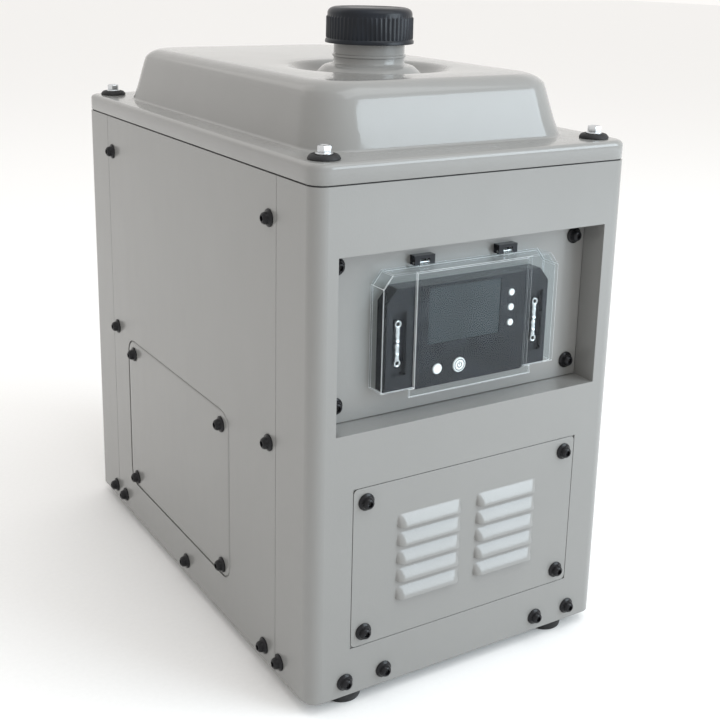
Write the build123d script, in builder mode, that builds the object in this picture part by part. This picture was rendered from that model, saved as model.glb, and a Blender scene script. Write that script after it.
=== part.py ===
from build123d import *
import math
import os

# Portable DC generator set in a sheet steel case, with the fuel tank as its lid.
# Millimetres. X to the right, Y to the back, Z up. The origin is on the ground, midway between the four feet.

# ---- driving dimensions -------------------------------------------------------------------------------------
BODY_W = 300.0  # case width
BODY_D = 484.0  # case depth
BODY_H = 420.0  # sheet metal height, from its lower edge to the tank flange
CORNER_R = 12.0  # bend radius of the case's vertical edges
SHEET = 1.5  # case sheet thickness
FOOT_H = 11.0  # ground to the case's lower edge

HALF_W = BODY_W / 2
HALF_D = BODY_D / 2
BOTTOM = FOOT_H
SEAM = BOTTOM + BODY_H
INNER_W = BODY_W - 2 * SHEET
INNER_D = BODY_D - 2 * SHEET

SEAM_Y = 184.0  # where the front and rear shells meet the side panels
SEAM_GAP = 0.5
LAP = 24.0  # width of the joggled strip behind each side panel edge
TOP_LIP = 16.0  # inward flange along the top of the case

M6_R = 3.0
M6_HOLE_R = 3.4
HEAD_R = 5.0
HEAD_H = 5.2
SCREW_FLANGE_R = 7.2
SCREW_FLANGE_H = 1.4
SCREW_L = 9.0

TRAY_T = 2.0
TRAY_H = 28.0
LOW_ROW_Z = BOTTOM + 13.0

RECESS_W = 258.0
RECESS_Z = (BOTTOM + 227.0, BOTTOM + 367.0)
RECESS_DEPTH = 24.0
PLATE_SCREW_X = 117.0

LOUVRE_W = 224.0
LOUVRE_H = 138.0
LOUVRE_Z = BOTTOM + 111.0
LOUVRE_SCREWS = (100.5, 57.0)
HOOD_L = 62.0
HOOD_H = 11.0
HOOD_OUT = 5.0
HOOD_PITCH = 16.0
HOOD_X = 39.3
HOOD_Z = BOTTOM + 80.0

HATCH_Y = 23.0
HATCH_Z = BOTTOM + 118.0
HATCH_W = 240.0
HATCH_H = 158.0
HATCH_R = 15.0
HATCH_SCREW_Z = (BOTTOM + 48.5, BOTTOM + 184.0)
HATCH_SCREW_Y = 104.0
JOGGLE = 6.0

GASKET_T = 1.0
FLANGE_TOP = SEAM + 16.5
DOME_TOP = SEAM + 67.0
BELLY_LOW = SEAM - 46.0
TANK_WALL = 3.0
NECK_Y = -70.0
NECK_R = 31.0
NECK_BORE_R = 25.5
NECK_TOP = SEAM + 112.0
TANK_BOLT = (130.0, 220.0)

CAP_LOW = SEAM + 87.0
CAP_TOP = SEAM + 117.5
CAP_R = 37.4

PLATE_Y = -HALF_D + RECESS_DEPTH
COVER_Z = (BOTTOM + 252.0, BOTTOM + 347.0)
COVER_HALF_W = 86.0
HINGE_Y = PLATE_Y - 5.0
HINGE_Z = COVER_Z[1] + 3.0
HINGE_X = 41.0

CRANK_X = 8.0
CRANK_Z = BOTTOM + 122.0

os.makedirs("parts", exist_ok=True)


def keep(builder, name):
    """Label a finished sub-part and write it as one STEP file."""
    builder.part.label = name
    export_step(builder.part, f"parts/{name}.step")


def front_site(x, z, y=-HALF_D):
    return Plane(origin=(x, y, z), x_dir=(1, 0, 0), z_dir=(0, -1, 0))


def rear_site(x, z, y=HALF_D):
    return Plane(origin=(x, y, z), x_dir=(-1, 0, 0), z_dir=(0, 1, 0))


def side_site(side, y, z, x=HALF_W):
    return Plane(origin=(side * x, y, z), x_dir=(0, 1, 0), z_dir=(side, 0, 0))


def drill(sites, radius=M6_HOLE_R, depth=10.0):
    """Straight holes through the part being built, each centred on its site."""
    with Locations(*sites):
        Cylinder(radius, 2 * depth, mode=Mode.SUBTRACT)


LOW_FRONT_X = (-117.0, -80.0, 80.0, 117.0)
SHELL_LOW_Y = 192.0
PANEL_LOW_Y = (-164.0, 0.0, 164.0)
PANEL_SCREW_Y = 172.0
PANEL_SCREW_Z = (BOTTOM + 201.5, BOTTOM + 385.5)

front_low_sites = [front_site(x, LOW_ROW_Z) for x in LOW_FRONT_X]
rear_low_sites = [rear_site(x, LOW_ROW_Z) for x in LOW_FRONT_X]
shell_low_sites = {
    -1: [side_site(s, -SHELL_LOW_Y, LOW_ROW_Z) for s in (-1, 1)],
    1: [side_site(s, SHELL_LOW_Y, LOW_ROW_Z) for s in (-1, 1)],
}
panel_low_sites = {s: [side_site(s, y, LOW_ROW_Z) for y in PANEL_LOW_Y] for s in (-1, 1)}
panel_sites = {
    s: [side_site(s, y, z) for y in (-PANEL_SCREW_Y, PANEL_SCREW_Y) for z in PANEL_SCREW_Z] for s in (-1, 1)
}
hatch_sites = {
    s: [side_site(s, HATCH_Y + y, z) for y in (-HATCH_SCREW_Y, HATCH_SCREW_Y) for z in HATCH_SCREW_Z]
    for s in (-1, 1)
}
louvre_sites = {
    end: [site(sx * LOUVRE_SCREWS[0], LOUVRE_Z + sz * LOUVRE_SCREWS[1]) for sx in (-1, 1) for sz in (-1, 1)]
    for end, site in ((-1, front_site), (1, rear_site))
}
plate_sites = [
    front_site(x, z, PLATE_Y)
    for x in (-PLATE_SCREW_X, PLATE_SCREW_X)
    for z in (RECESS_Z[0] + 15.0, RECESS_Z[1] - 13.0)
]
tank_sites = [
    Plane.XY.offset(FLANGE_TOP) * Location((sx * TANK_BOLT[0], sy * TANK_BOLT[1]))
    for sx in (-1, 1)
    for sy in (-1, 1)
]
FOOT_X = 108.0
FOOT_Y = 222.0
FOOT_POINTS = [(sx * FOOT_X, sy * FOOT_Y) for sx in (-1, 1) for sy in (-1, 1)]
EXHAUST = (-62.0, BOTTOM + 232.0)
TERMINALS = [(x, BOTTOM + 232.0) for x in (48.0, 82.0)]

# ---- base ---------------------------------------------------------------------------------------------------
# Pressed tray: floor and upturned edge, everything else is bolted to it.
tray_w = INNER_W - 0.4
tray_d = INNER_D - 0.4
RAIL_X = 58.0
MOUNT_Y = (-62.0, 62.0)
MOUNT_POINTS = [(CRANK_X + sx * RAIL_X, y) for sx in (-1, 1) for y in MOUNT_Y]
with BuildPart() as base_tray:
    with BuildSketch(Plane.XY.offset(BOTTOM)):
        RectangleRounded(tray_w, tray_d, CORNER_R - SHEET)
    extrude(amount=TRAY_H)
    with BuildSketch(Plane.XY.offset(BOTTOM + TRAY_T)):
        RectangleRounded(tray_w - 2 * TRAY_T, tray_d - 2 * TRAY_T, CORNER_R - SHEET - TRAY_T)
    extrude(amount=TRAY_H, mode=Mode.SUBTRACT)
    drill(front_low_sites + rear_low_sites)
    for low in (shell_low_sites, panel_low_sites):
        drill(low[-1] + low[1])
    with BuildSketch(Plane.XY.offset(BOTTOM)):
        with Locations(*FOOT_POINTS):
            Circle(M6_HOLE_R)
        with GridLocations(30, 12, 5, 6):
            SlotOverall(22, 5)
    extrude(amount=TRAY_T, mode=Mode.SUBTRACT)
keep(base_tray, "base_tray")

# Four moulded rubber feet, each with a pocket for its screw head.
FOOT_R = 17.0
FOOT_POCKET_R = 7.0
FOOT_POCKET = 6.0
with BuildPart() as rubber_feet:
    with BuildSketch(Plane.XY.offset(BOTTOM)):
        with Locations(*FOOT_POINTS):
            Circle(FOOT_R)
    extrude(amount=-FOOT_H, taper=8)
    with BuildSketch(Plane.XY):
        with Locations(*FOOT_POINTS):
            Circle(FOOT_POCKET_R)
    extrude(amount=FOOT_POCKET, mode=Mode.SUBTRACT)
    with BuildSketch(Plane.XY):
        with Locations(*FOOT_POINTS):
            Circle(M6_HOLE_R)
    extrude(amount=FOOT_H, mode=Mode.SUBTRACT)
keep(rubber_feet, "rubber_feet")

# Pan-head screw and nut that hold each foot.
with BuildPart() as foot_screws:
    with BuildSketch(Plane.XY.offset(FOOT_POCKET - 3.2)):
        with Locations(*FOOT_POINTS):
            Circle(5.5)
    extrude(amount=3.2)
    with BuildSketch(Plane.XY.offset(FOOT_POCKET)):
        with Locations(*FOOT_POINTS):
            Circle(M6_R)
    extrude(amount=BOTTOM + TRAY_T + 7.0 - FOOT_POCKET)
    with BuildSketch(Plane.XY.offset(BOTTOM + TRAY_T)):
        with Locations(*FOOT_POINTS):
            RegularPolygon(5.0, 6, major_radius=False)
    extrude(amount=5.0)
keep(foot_screws, "foot_screws")


# ---- case ---------------------------------------------------------------------------------------------------
def wrap_shell(end):
    """Front (-1) or rear (+1) shell: one face, two bent corners, top lip and laps behind the side panels."""
    with BuildPart() as shell:
        cut_y = end * (SEAM_Y + SEAM_GAP / 2 - HALF_D)
        with BuildSketch(Plane.XY.offset(BOTTOM)):
            RectangleRounded(BODY_W, BODY_D, CORNER_R)
            RectangleRounded(INNER_W, INNER_D, CORNER_R - SHEET, mode=Mode.SUBTRACT)
            with Locations((0, cut_y)):
                Rectangle(BODY_W + 2, BODY_D, mode=Mode.SUBTRACT)
        extrude(amount=BODY_H)
        with BuildSketch(Plane.XY.offset(SEAM - SHEET)):
            RectangleRounded(BODY_W, BODY_D, CORNER_R)
            Rectangle(BODY_W - 2 * TOP_LIP, BODY_D - 2 * TOP_LIP, mode=Mode.SUBTRACT)
            with Locations((0, cut_y)):
                Rectangle(BODY_W + 2, BODY_D, mode=Mode.SUBTRACT)
        extrude(amount=SHEET)
        lap_z = (BOTTOM + TRAY_H + 2, SEAM - SHEET - 5)
        with Locations(*[
            (s * (HALF_W - 1.5 * SHEET), end * (SEAM_Y + 8 - (LAP + 8) / 2), sum(lap_z) / 2) for s in (-1, 1)
        ]):
            Box(SHEET, LAP + 8, lap_z[1] - lap_z[0])
        # the louvre panel sits flush in a joggled opening
        face_y = end * HALF_D
        with Locations((0, face_y, LOUVRE_Z)):
            Box(LOUVRE_W + 1.2, 2 * SHEET, LOUVRE_H + 1.2, mode=Mode.SUBTRACT)
        with BuildSketch(Plane.XZ.offset(-end * (HALF_D - SHEET))):
            with Locations((0, LOUVRE_Z)):
                Rectangle(LOUVRE_W + 12, LOUVRE_H + 12)
                Rectangle(LOUVRE_W - 40, LOUVRE_H - 40, mode=Mode.SUBTRACT)
        extrude(amount=end * SHEET)
        drill(louvre_sites[end] + shell_low_sites[end])
        drill(front_low_sites if end < 0 else rear_low_sites)
        for s in (-1, 1):
            drill([p for p in panel_sites[s] if p.origin.Y * end > 0])
    return shell.part


recess_h = RECESS_Z[1] - RECESS_Z[0]
recess_mid = sum(RECESS_Z) / 2
recess_back = RECESS_DEPTH + 2 * SHEET
TAB = 28.0
with BuildPart() as front_shell:
    add(wrap_shell(-1))
    # return walls of the control recess, with a tab in each corner behind the plate
    with BuildSketch(Plane.XZ.offset(HALF_D)):
        with Locations((0, recess_mid)):
            Rectangle(RECESS_W + 2 * SHEET, recess_h + 2 * SHEET)
    extrude(amount=-recess_back)
    with BuildSketch(Plane.XZ.offset(HALF_D)):
        with Locations((0, recess_mid)):
            Rectangle(RECESS_W, recess_h)
    extrude(amount=-recess_back, mode=Mode.SUBTRACT)
    with BuildSketch(Plane.XZ.offset(HALF_D - RECESS_DEPTH - SHEET)):
        with Locations((0, recess_mid)):
            with GridLocations(RECESS_W - TAB, recess_h - TAB, 2, 2):
                Rectangle(TAB, TAB)
    extrude(amount=-SHEET)
    drill(plate_sites)
keep(front_shell, "front_shell")

PIPE_HOLE_R = 19.0
TERMINAL_HOLE_R = 7.0
with BuildPart() as rear_shell:
    add(wrap_shell(1))
    drill([rear_site(*EXHAUST)], PIPE_HOLE_R)
    drill([rear_site(*p) for p in TERMINALS], TERMINAL_HOLE_R)
keep(rear_shell, "rear_shell")


def side_panel(side):
    """Flat panel between the shells, pressed in round its service opening so that the hatch sits flush."""
    panel_d = 2 * SEAM_Y - SEAM_GAP
    with BuildPart() as panel:
        with Locations((side * (HALF_W - SHEET / 2), 0, BOTTOM + BODY_H / 2)):
            Box(SHEET, panel_d, BODY_H)
        with Locations((side * (HALF_W - TOP_LIP / 2), 0, SEAM - SHEET / 2)):
            Box(TOP_LIP, panel_d, SHEET)
        with BuildSketch(Plane.YZ.offset(side * HALF_W)):
            with Locations((HATCH_Y, HATCH_Z)):
                RectangleRounded(HATCH_W + 2, HATCH_H + 2, HATCH_R + 1)
        extrude(amount=-side * SHEET, mode=Mode.SUBTRACT)
        with BuildSketch(Plane.YZ.offset(side * (HALF_W - SHEET))):
            with Locations((HATCH_Y, HATCH_Z)):
                RectangleRounded(HATCH_W + 2 * JOGGLE, HATCH_H + 2 * JOGGLE, HATCH_R + JOGGLE)
                RectangleRounded(HATCH_W - 48, HATCH_H - 48, HATCH_R, mode=Mode.SUBTRACT)
        extrude(amount=-side * SHEET)
        drill(panel_sites[side] + panel_low_sites[side] + hatch_sites[side])
    return panel.part


def service_hatch(side):
    """Flat cover plate of the service opening."""
    with BuildPart() as hatch:
        with BuildSketch(Plane.YZ.offset(side * HALF_W)):
            with Locations((HATCH_Y, HATCH_Z)):
                RectangleRounded(HATCH_W, HATCH_H, HATCH_R)
        extrude(amount=-side * SHEET)
        drill(hatch_sites[side])
    return hatch.part


with BuildPart() as left_side_panel:
    add(side_panel(-1))
keep(left_side_panel, "left_side_panel")
with BuildPart() as right_side_panel:
    add(side_panel(1))
keep(right_side_panel, "right_side_panel")
with BuildPart() as left_service_hatch:
    add(service_hatch(-1))
keep(left_service_hatch, "left_service_hatch")
with BuildPart() as right_service_hatch:
    add(service_hatch(1))
keep(right_service_hatch, "right_service_hatch")


def louvre_panel(end):
    """Air panel with two columns of five pressed louvres, each open along its lower edge."""
    hood_spots = [(x, HOOD_Z + row * HOOD_PITCH) for x in (-HOOD_X, HOOD_X) for row in range(5)]
    outer = Plane.XZ.offset(-end * HALF_D)
    with BuildPart() as panel:
        with BuildSketch(outer):
            with Locations((0, LOUVRE_Z)):
                RectangleRounded(LOUVRE_W, LOUVRE_H, 4)
        extrude(amount=end * SHEET)
        for x, z in hood_spots:
            with BuildSketch(Plane.YZ.offset(x - HOOD_L / 2)):
                with BuildLine():
                    Polyline(
                        (end * HALF_D, z + HOOD_H / 2),
                        (end * (HALF_D + HOOD_OUT), z - HOOD_H / 4),
                        (end * (HALF_D + HOOD_OUT), z - HOOD_H / 2),
                        (end * HALF_D, z - HOOD_H / 2),
                        close=True,
                    )
                make_face()
            extrude(amount=HOOD_L)
        for x, z in hood_spots:
            with BuildSketch(Plane.YZ.offset(x - HOOD_L / 2 + 2)):
                with BuildLine():
                    Polyline(
                        (end * (HALF_D - 2 * SHEET), z + HOOD_H / 2 - 2),
                        (end * HALF_D, z + HOOD_H / 2 - 2),
                        (end * (HALF_D + HOOD_OUT - 1.2), z - HOOD_H / 4),
                        (end * (HALF_D + HOOD_OUT - 1.2), z - HOOD_H / 2 - 1),
                        (end * HALF_D, z - HOOD_H / 2 - 1),
                        (end * HALF_D, z - HOOD_H / 2 + 1),
                        (end * (HALF_D - 2 * SHEET), z - HOOD_H / 2 + 1),
                        close=True,
                    )
                make_face()
            extrude(amount=HOOD_L - 4, mode=Mode.SUBTRACT)
        drill(louvre_sites[end])
    return panel.part


with BuildPart() as front_louvre_panel:
    add(louvre_panel(-1))
keep(front_louvre_panel, "front_louvre_panel")
with BuildPart() as rear_louvre_panel:
    add(louvre_panel(1))
keep(rear_louvre_panel, "rear_louvre_panel")

# Rolled angle ring inside the top edge: it carries the tank and takes the four tank bolts.
FRAME_LEG = 24.0
FRAME_T = 2.5
FRAME_SHELF = 30.0
frame_w = INNER_W - 4 * SHEET - 1.0
frame_d = INNER_D - 4 * SHEET - 1.0
with BuildPart() as tank_frame:
    with BuildSketch(Plane.XY.offset(SEAM - SHEET)):
        RectangleRounded(frame_w, frame_d, 9)
        Rectangle(frame_w - 2 * FRAME_SHELF, frame_d - 2 * FRAME_SHELF, mode=Mode.SUBTRACT)
    extrude(amount=-FRAME_T)
    with BuildSketch(Plane.XY.offset(SEAM - SHEET)):
        RectangleRounded(frame_w, frame_d, 9)
        RectangleRounded(frame_w - 2 * FRAME_T, frame_d - 2 * FRAME_T, 9 - FRAME_T, mode=Mode.SUBTRACT)
    extrude(amount=-FRAME_LEG)
    drill(tank_sites, M6_HOLE_R, 40)
keep(tank_frame, "tank_frame")

# ---- fuel tank ----------------------------------------------------------------------------------------------
# Foam strip between the case's top lip and the tank flange.
with BuildPart() as tank_gasket:
    with BuildSketch(Plane.XY.offset(SEAM)):
        RectangleRounded(BODY_W - 3, BODY_D - 3, CORNER_R - 1.5)
        RectangleRounded(BODY_W - 30, BODY_D - 30, 6, mode=Mode.SUBTRACT)
    extrude(amount=GASKET_T)
keep(tank_gasket, "tank_gasket")

# Blow-moulded tank: thick flange that closes the case, raised dome above it and a belly below it.
DOME_BASE = (250.0, 410.0, 38.0)
DOME_CROWN = (228.0, 374.0, 30.0)
BELLY = (222.0, 392.0, 30.0)
DISH_R = 72.0
DISH_FLOOR_R = 52.0
DISH_DEPTH = 9.0
SHOULDER_R = 36.0
SPIGOT = (-70.0, 60.0)
flange_low = SEAM + GASKET_T
with BuildPart() as fuel_tank:
    with BuildSketch(Plane.XY.offset(flange_low)):
        RectangleRounded(BODY_W, BODY_D, CORNER_R + 1)
    extrude(amount=FLANGE_TOP - flange_low)
    fillet(fuel_tank.faces().sort_by(Axis.Z)[-1].edges(), 4)
    with BuildSketch(Plane.XY.offset(FLANGE_TOP - 2)):
        RectangleRounded(*DOME_BASE)
    with BuildSketch(Plane.XY.offset(DOME_TOP)):
        RectangleRounded(*DOME_CROWN)
    loft()
    fillet(fuel_tank.faces().sort_by(Axis.Z)[-1].edges(), 12)
    with BuildSketch(Plane.XY.offset(BELLY_LOW)):
        RectangleRounded(*BELLY)
    extrude(amount=flange_low - BELLY_LOW)
    fillet(fuel_tank.faces().sort_by(Axis.Z)[0].edges(), 6)
    # the cavity follows the outside at the wall thickness
    with BuildSketch(Plane.XY.offset(BELLY_LOW + TANK_WALL)):
        RectangleRounded(BELLY[0] - 2 * TANK_WALL, BELLY[1] - 2 * TANK_WALL, BELLY[2] - TANK_WALL)
    extrude(amount=FLANGE_TOP - BELLY_LOW - TANK_WALL, mode=Mode.SUBTRACT)
    with BuildSketch(Plane.XY.offset(FLANGE_TOP)):
        RectangleRounded(BELLY[0] - 2 * TANK_WALL, BELLY[1] - 2 * TANK_WALL, BELLY[2] - TANK_WALL)
    with BuildSketch(Plane.XY.offset(DOME_TOP - TANK_WALL)):
        RectangleRounded(DOME_CROWN[0] - 14, DOME_CROWN[1] - 14, DOME_CROWN[2] - 6)
    loft(mode=Mode.SUBTRACT)
    # dished well round the filler neck, with a coned shoulder up to the neck
    with Locations((0, NECK_Y, DOME_TOP - (DISH_DEPTH + TANK_WALL) / 2 - 1)):
        Cylinder(DISH_R + 1, DISH_DEPTH + TANK_WALL - 1)
    with BuildSketch(Plane.XZ.offset(-NECK_Y)):
        with BuildLine():
            Polyline(
                (SHOULDER_R, DOME_TOP + 1),
                (DISH_FLOOR_R - 6, DOME_TOP - DISH_DEPTH),
                (DISH_FLOOR_R, DOME_TOP - DISH_DEPTH),
                (DISH_R, DOME_TOP),
                (DISH_R, DOME_TOP + 1),
                close=True,
            )
        make_face()
    revolve(axis=Axis((0, NECK_Y, 0), (0, 0, 1)), mode=Mode.SUBTRACT)
    with Locations((0, NECK_Y, DOME_TOP + 0.5)):
        Cylinder(SHOULDER_R, 3)
    with Locations((0, NECK_Y, (NECK_TOP + DOME_TOP - 8) / 2)):
        Cylinder(NECK_R, NECK_TOP - DOME_TOP + 8)
        Cylinder(NECK_BORE_R, NECK_TOP - DOME_TOP + 40, mode=Mode.SUBTRACT)
    with Locations((SPIGOT[0], SPIGOT[1], BELLY_LOW - 6)):
        Cylinder(5, 14)
        Cylinder(2.5, 30, mode=Mode.SUBTRACT)
    drill(tank_sites, M6_HOLE_R, 30)
keep(fuel_tank, "fuel_tank")

# Cupped rubber washers under the tank bolts.
WASHER_R = 12.3
WASHER_T = 4.0
with BuildPart() as tank_bolt_washers:
    with Locations(*tank_sites):
        Cone(WASHER_R, WASHER_R - 2, WASHER_T, align=(Align.CENTER, Align.CENTER, Align.MIN))
        Cylinder(M6_HOLE_R, 2 * WASHER_T, mode=Mode.SUBTRACT)
keep(tank_bolt_washers, "tank_bolt_washers")

# Zinc plated hexagon bolts with a washer face, and their nuts under the frame.
BOLT_AF = 10.0
with BuildPart() as tank_bolts:
    with Locations(*tank_sites):
        with Locations((0, 0, WASHER_T)):
            Cylinder(6.6, 1.2, align=(Align.CENTER, Align.CENTER, Align.MIN))
        with Locations((0, 0, WASHER_T - 30)):
            Cylinder(M6_R, 30, align=(Align.CENTER, Align.CENTER, Align.MIN))
    with BuildSketch(Plane.XY.offset(FLANGE_TOP + WASHER_T + 1.2)):
        with GridLocations(2 * TANK_BOLT[0], 2 * TANK_BOLT[1], 2, 2):
            RegularPolygon(BOLT_AF / 2, 6, major_radius=False)
    extrude(amount=5.2)
    with BuildSketch(Plane.XY.offset(SEAM - SHEET - FRAME_T)):
        with GridLocations(2 * TANK_BOLT[0], 2 * TANK_BOLT[1], 2, 2):
            RegularPolygon(BOLT_AF / 2, 6, major_radius=False)
    extrude(amount=-5)
keep(tank_bolts, "tank_bolts")

# Seal that rides up with the cap, on top of the neck.
SEAL_T = 2.0
with BuildPart() as cap_gasket:
    with Locations((0, NECK_Y, NECK_TOP + 0.05 + SEAL_T / 2)):
        Cylinder(NECK_R + 0.8, SEAL_T)
        Cylinder(NECK_BORE_R - 1.0, SEAL_T, mode=Mode.SUBTRACT)
keep(cap_gasket, "cap_gasket")

# Screw cap: ribbed skirt with a flared lower rim, chamfered crown.
CAP_RIBS = 60
with BuildPart() as filler_cap:
    with BuildSketch(Plane.XZ.offset(-NECK_Y)):
        with BuildLine():
            Polyline(
                (0, NECK_TOP + 0.1 + SEAL_T),
                (NECK_R + 1.6, NECK_TOP + 0.1 + SEAL_T),
                (NECK_R + 1.6, CAP_LOW),
                (CAP_R + 1.3, CAP_LOW),
                (CAP_R + 1.3, CAP_LOW + 2.2),
                (CAP_R, CAP_LOW + 4.0),
                (CAP_R, CAP_TOP - 5.0),
                (CAP_R - 1.6, CAP_TOP - 1.8),
                (CAP_R - 4.4, CAP_TOP - 0.4),
                (CAP_R - 7.0, CAP_TOP),
                (0, CAP_TOP),
                close=True,
            )
        make_face()
    revolve(axis=Axis((0, NECK_Y, 0), (0, 0, 1)))
    with Locations((0, NECK_Y, (CAP_LOW + CAP_TOP) / 2)):
        with PolarLocations(CAP_R, CAP_RIBS):
            Box(1.4, 1.6, CAP_TOP - CAP_LOW - 10)
keep(filler_cap, "filler_cap")


# ---- case screws --------------------------------------------------------------------------------------------
def flange_screws(sites):
    """Black flange-head screws, heads outwards, one at each site."""
    with BuildPart() as screws:
        with Locations(*sites):
            Cylinder(SCREW_FLANGE_R, SCREW_FLANGE_H, align=(Align.CENTER, Align.CENTER, Align.MIN))
            Cone(
                HEAD_R + 0.6,
                HEAD_R - 1.2,
                SCREW_FLANGE_H + HEAD_H,
                align=(Align.CENTER, Align.CENTER, Align.MIN),
            )
            with Locations((0, 0, -SCREW_L)):
                Cylinder(M6_R, SCREW_L, align=(Align.CENTER, Align.CENTER, Align.MIN))
    return screws.part


with BuildPart() as case_screws:
    all_sites = front_low_sites + rear_low_sites + plate_sites
    for group in (shell_low_sites, panel_low_sites, panel_sites, hatch_sites, louvre_sites):
        all_sites = all_sites + group[-1] + group[1]
    add(flange_screws(all_sites))
keep(case_screws, "case_screws")

# ---- control unit -------------------------------------------------------------------------------------------
CTRL_W = 159.0
CTRL_H = 84.0
CTRL_MID = BOTTOM + 292.0
CTRL_BACK = 30.0
CTRL_FRONT = 14.0  # how far the wings stand in front of the plate
FACE_W = 107.0
FACE_FRONT = 16.5
FACE_T = 2.5
CHAMFER = 9.0
POCKET_X = 68.0


def chamfered_outline(half_w, low, high, cut):
    """Closed outline in X and Z with its two upper corners cut off."""
    return [
        (-half_w, low),
        (half_w, low),
        (half_w, high - cut * 1.25),
        (half_w - cut, high),
        (-half_w + cut, high),
        (-half_w, high - cut * 1.25),
    ]


# Painted plate at the back of the recess.
with BuildPart() as control_plate:
    with BuildSketch(Plane.XZ.offset(-PLATE_Y)):
        with Locations((0, recess_mid)):
            Rectangle(RECESS_W - 1, recess_h - 1)
        with Locations((0, CTRL_MID)):
            Rectangle(CTRL_W - 20, CTRL_H - 16, mode=Mode.SUBTRACT)
        with Locations(*[(s * HINGE_X, HINGE_Z + 3) for s in (-1, 1)]):
            Circle(1.6, mode=Mode.SUBTRACT)
    extrude(amount=-SHEET)
    drill(plate_sites)
keep(control_plate, "control_plate")

# Controller housing: block in front of the plate with a pocket in each wing, hollow box behind the plate.
CAVITY_W = FACE_W - 8
with BuildPart() as controller_housing:
    with BuildSketch(Plane.XZ.offset(-PLATE_Y)):
        with BuildLine():
            Polyline(
                *chamfered_outline(CTRL_W / 2, CTRL_MID - CTRL_H / 2, CTRL_MID + CTRL_H / 2, CHAMFER), close=True
            )
        make_face()
    extrude(amount=CTRL_FRONT)
    with Locations((0, PLATE_Y + CTRL_BACK / 2, CTRL_MID)):
        Box(CTRL_W - 22, CTRL_BACK, CTRL_H - 18)
    with Locations((0, PLATE_Y - CTRL_FRONT / 2, CTRL_MID)):
        Box(CAVITY_W, CTRL_FRONT, CTRL_H - 9, mode=Mode.SUBTRACT)
    with Locations((0, PLATE_Y + (CTRL_BACK - 3) / 2, CTRL_MID)):
        Box(CAVITY_W, CTRL_BACK - 3, CTRL_H - 24, mode=Mode.SUBTRACT)
    with Locations(*[(s * POCKET_X, PLATE_Y - CTRL_FRONT, CTRL_MID - 3) for s in (-1, 1)]):
        Box(14, 8, 52, mode=Mode.SUBTRACT)
keep(controller_housing, "controller_housing")

# Bright metal strip with two eyelet screws in each wing pocket.
with BuildPart() as mounting_strips:
    with Locations(*[(s * POCKET_X, PLATE_Y - CTRL_FRONT + 3.4, CTRL_MID - 3) for s in (-1, 1)]):
        Box(9, 1.2, 44)
    with Locations(*[
        front_site(s * POCKET_X, CTRL_MID - 3 + dz, PLATE_Y - CTRL_FRONT + 2.8)
        for s in (-1, 1)
        for dz in (-16, 16)
    ]):
        Cylinder(3.2, 2.0, align=(Align.CENTER, Align.CENTER, Align.MIN))
        Cylinder(1.4, 6.0, mode=Mode.SUBTRACT)
keep(mounting_strips, "mounting_strips")

# Buttons: name, x, z, radius.
BUTTONS = [
    ("page_button", 39.0, BOTTOM + 318.0, 2.8),
    ("up_button", 39.0, BOTTOM + 305.4, 2.8),
    ("down_button", 39.0, BOTTOM + 292.4, 2.8),
    ("select_button", -32.5, BOTTOM + 264.0, 4.2),
    ("power_button", -11.0, BOTTOM + 264.0, 6.0),
]
BUTTON_GAP = 0.25
DISPLAY = (-7.0, BOTTOM + 308.0, 70.0, 46.0)
face_y = PLATE_Y - FACE_FRONT

# Gloss front panel over the middle of the housing, with the display and button openings.
with BuildPart() as controller_face:
    with BuildSketch(Plane.XZ.offset(-face_y)):
        with Locations((0, CTRL_MID)):
            RectangleRounded(FACE_W, CTRL_H, 1.5)
        with Locations((DISPLAY[0], DISPLAY[1])):
            Rectangle(DISPLAY[2] + 0.4, DISPLAY[3] + 0.4, mode=Mode.SUBTRACT)
        for _, x, z, radius in BUTTONS:
            with Locations((x, z)):
                Circle(radius + BUTTON_GAP, mode=Mode.SUBTRACT)
    extrude(amount=-FACE_T)
keep(controller_face, "controller_face")

with BuildPart() as display_window:
    with Locations((DISPLAY[0], face_y + 1.2, DISPLAY[1])):
        Box(DISPLAY[2], 1.6, DISPLAY[3])
keep(display_window, "display_window")

# Board with the display module standing on it.
board_y = face_y + FACE_T + 6.0
with BuildPart() as circuit_board:
    with Locations((0, board_y + 0.8, CTRL_MID)):
        Box(CAVITY_W - 2, 1.6, CTRL_H - 24)
    with Locations((DISPLAY[0], board_y - 2.4, DISPLAY[1] - 1)):
        Box(DISPLAY[2] - 4, 4.8, DISPLAY[3] - 8)
    with Locations((-20, board_y + 6.6, CTRL_MID - 10), (24, board_y + 6.6, CTRL_MID + 8)):
        Box(26, 10, 20)
keep(circuit_board, "circuit_board")

# Silicone mat with one dome behind each button.
with BuildPart() as keypad_mat:
    for _, x, z, radius in BUTTONS:
        with Locations(front_site(x, z, board_y)):
            Cone(radius + 1.0, radius - 0.4, 3.0, align=(Align.CENTER, Align.CENTER, Align.MIN))
keep(keypad_mat, "keypad_mat")

BUTTON_PROUD = 1.1
BUTTON_COLLAR = 1.0
for button_name, x, z, radius in BUTTONS:
    with BuildPart() as button:
        with Locations(front_site(x, z, face_y + FACE_T + 0.3)):
            Cylinder(
                radius,
                FACE_T + 0.3 + BUTTON_PROUD,
                align=(Align.CENTER, Align.CENTER, Align.MIN),
            )
        with Locations(front_site(x, z, face_y + FACE_T + 0.3 + BUTTON_COLLAR)):
            Cylinder(radius + 0.9, BUTTON_COLLAR, align=(Align.CENTER, Align.CENTER, Align.MIN))
        chamfer(button.faces().sort_by(Axis.Y)[0].edges(), 0.4)
    keep(button, button_name)

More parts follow.
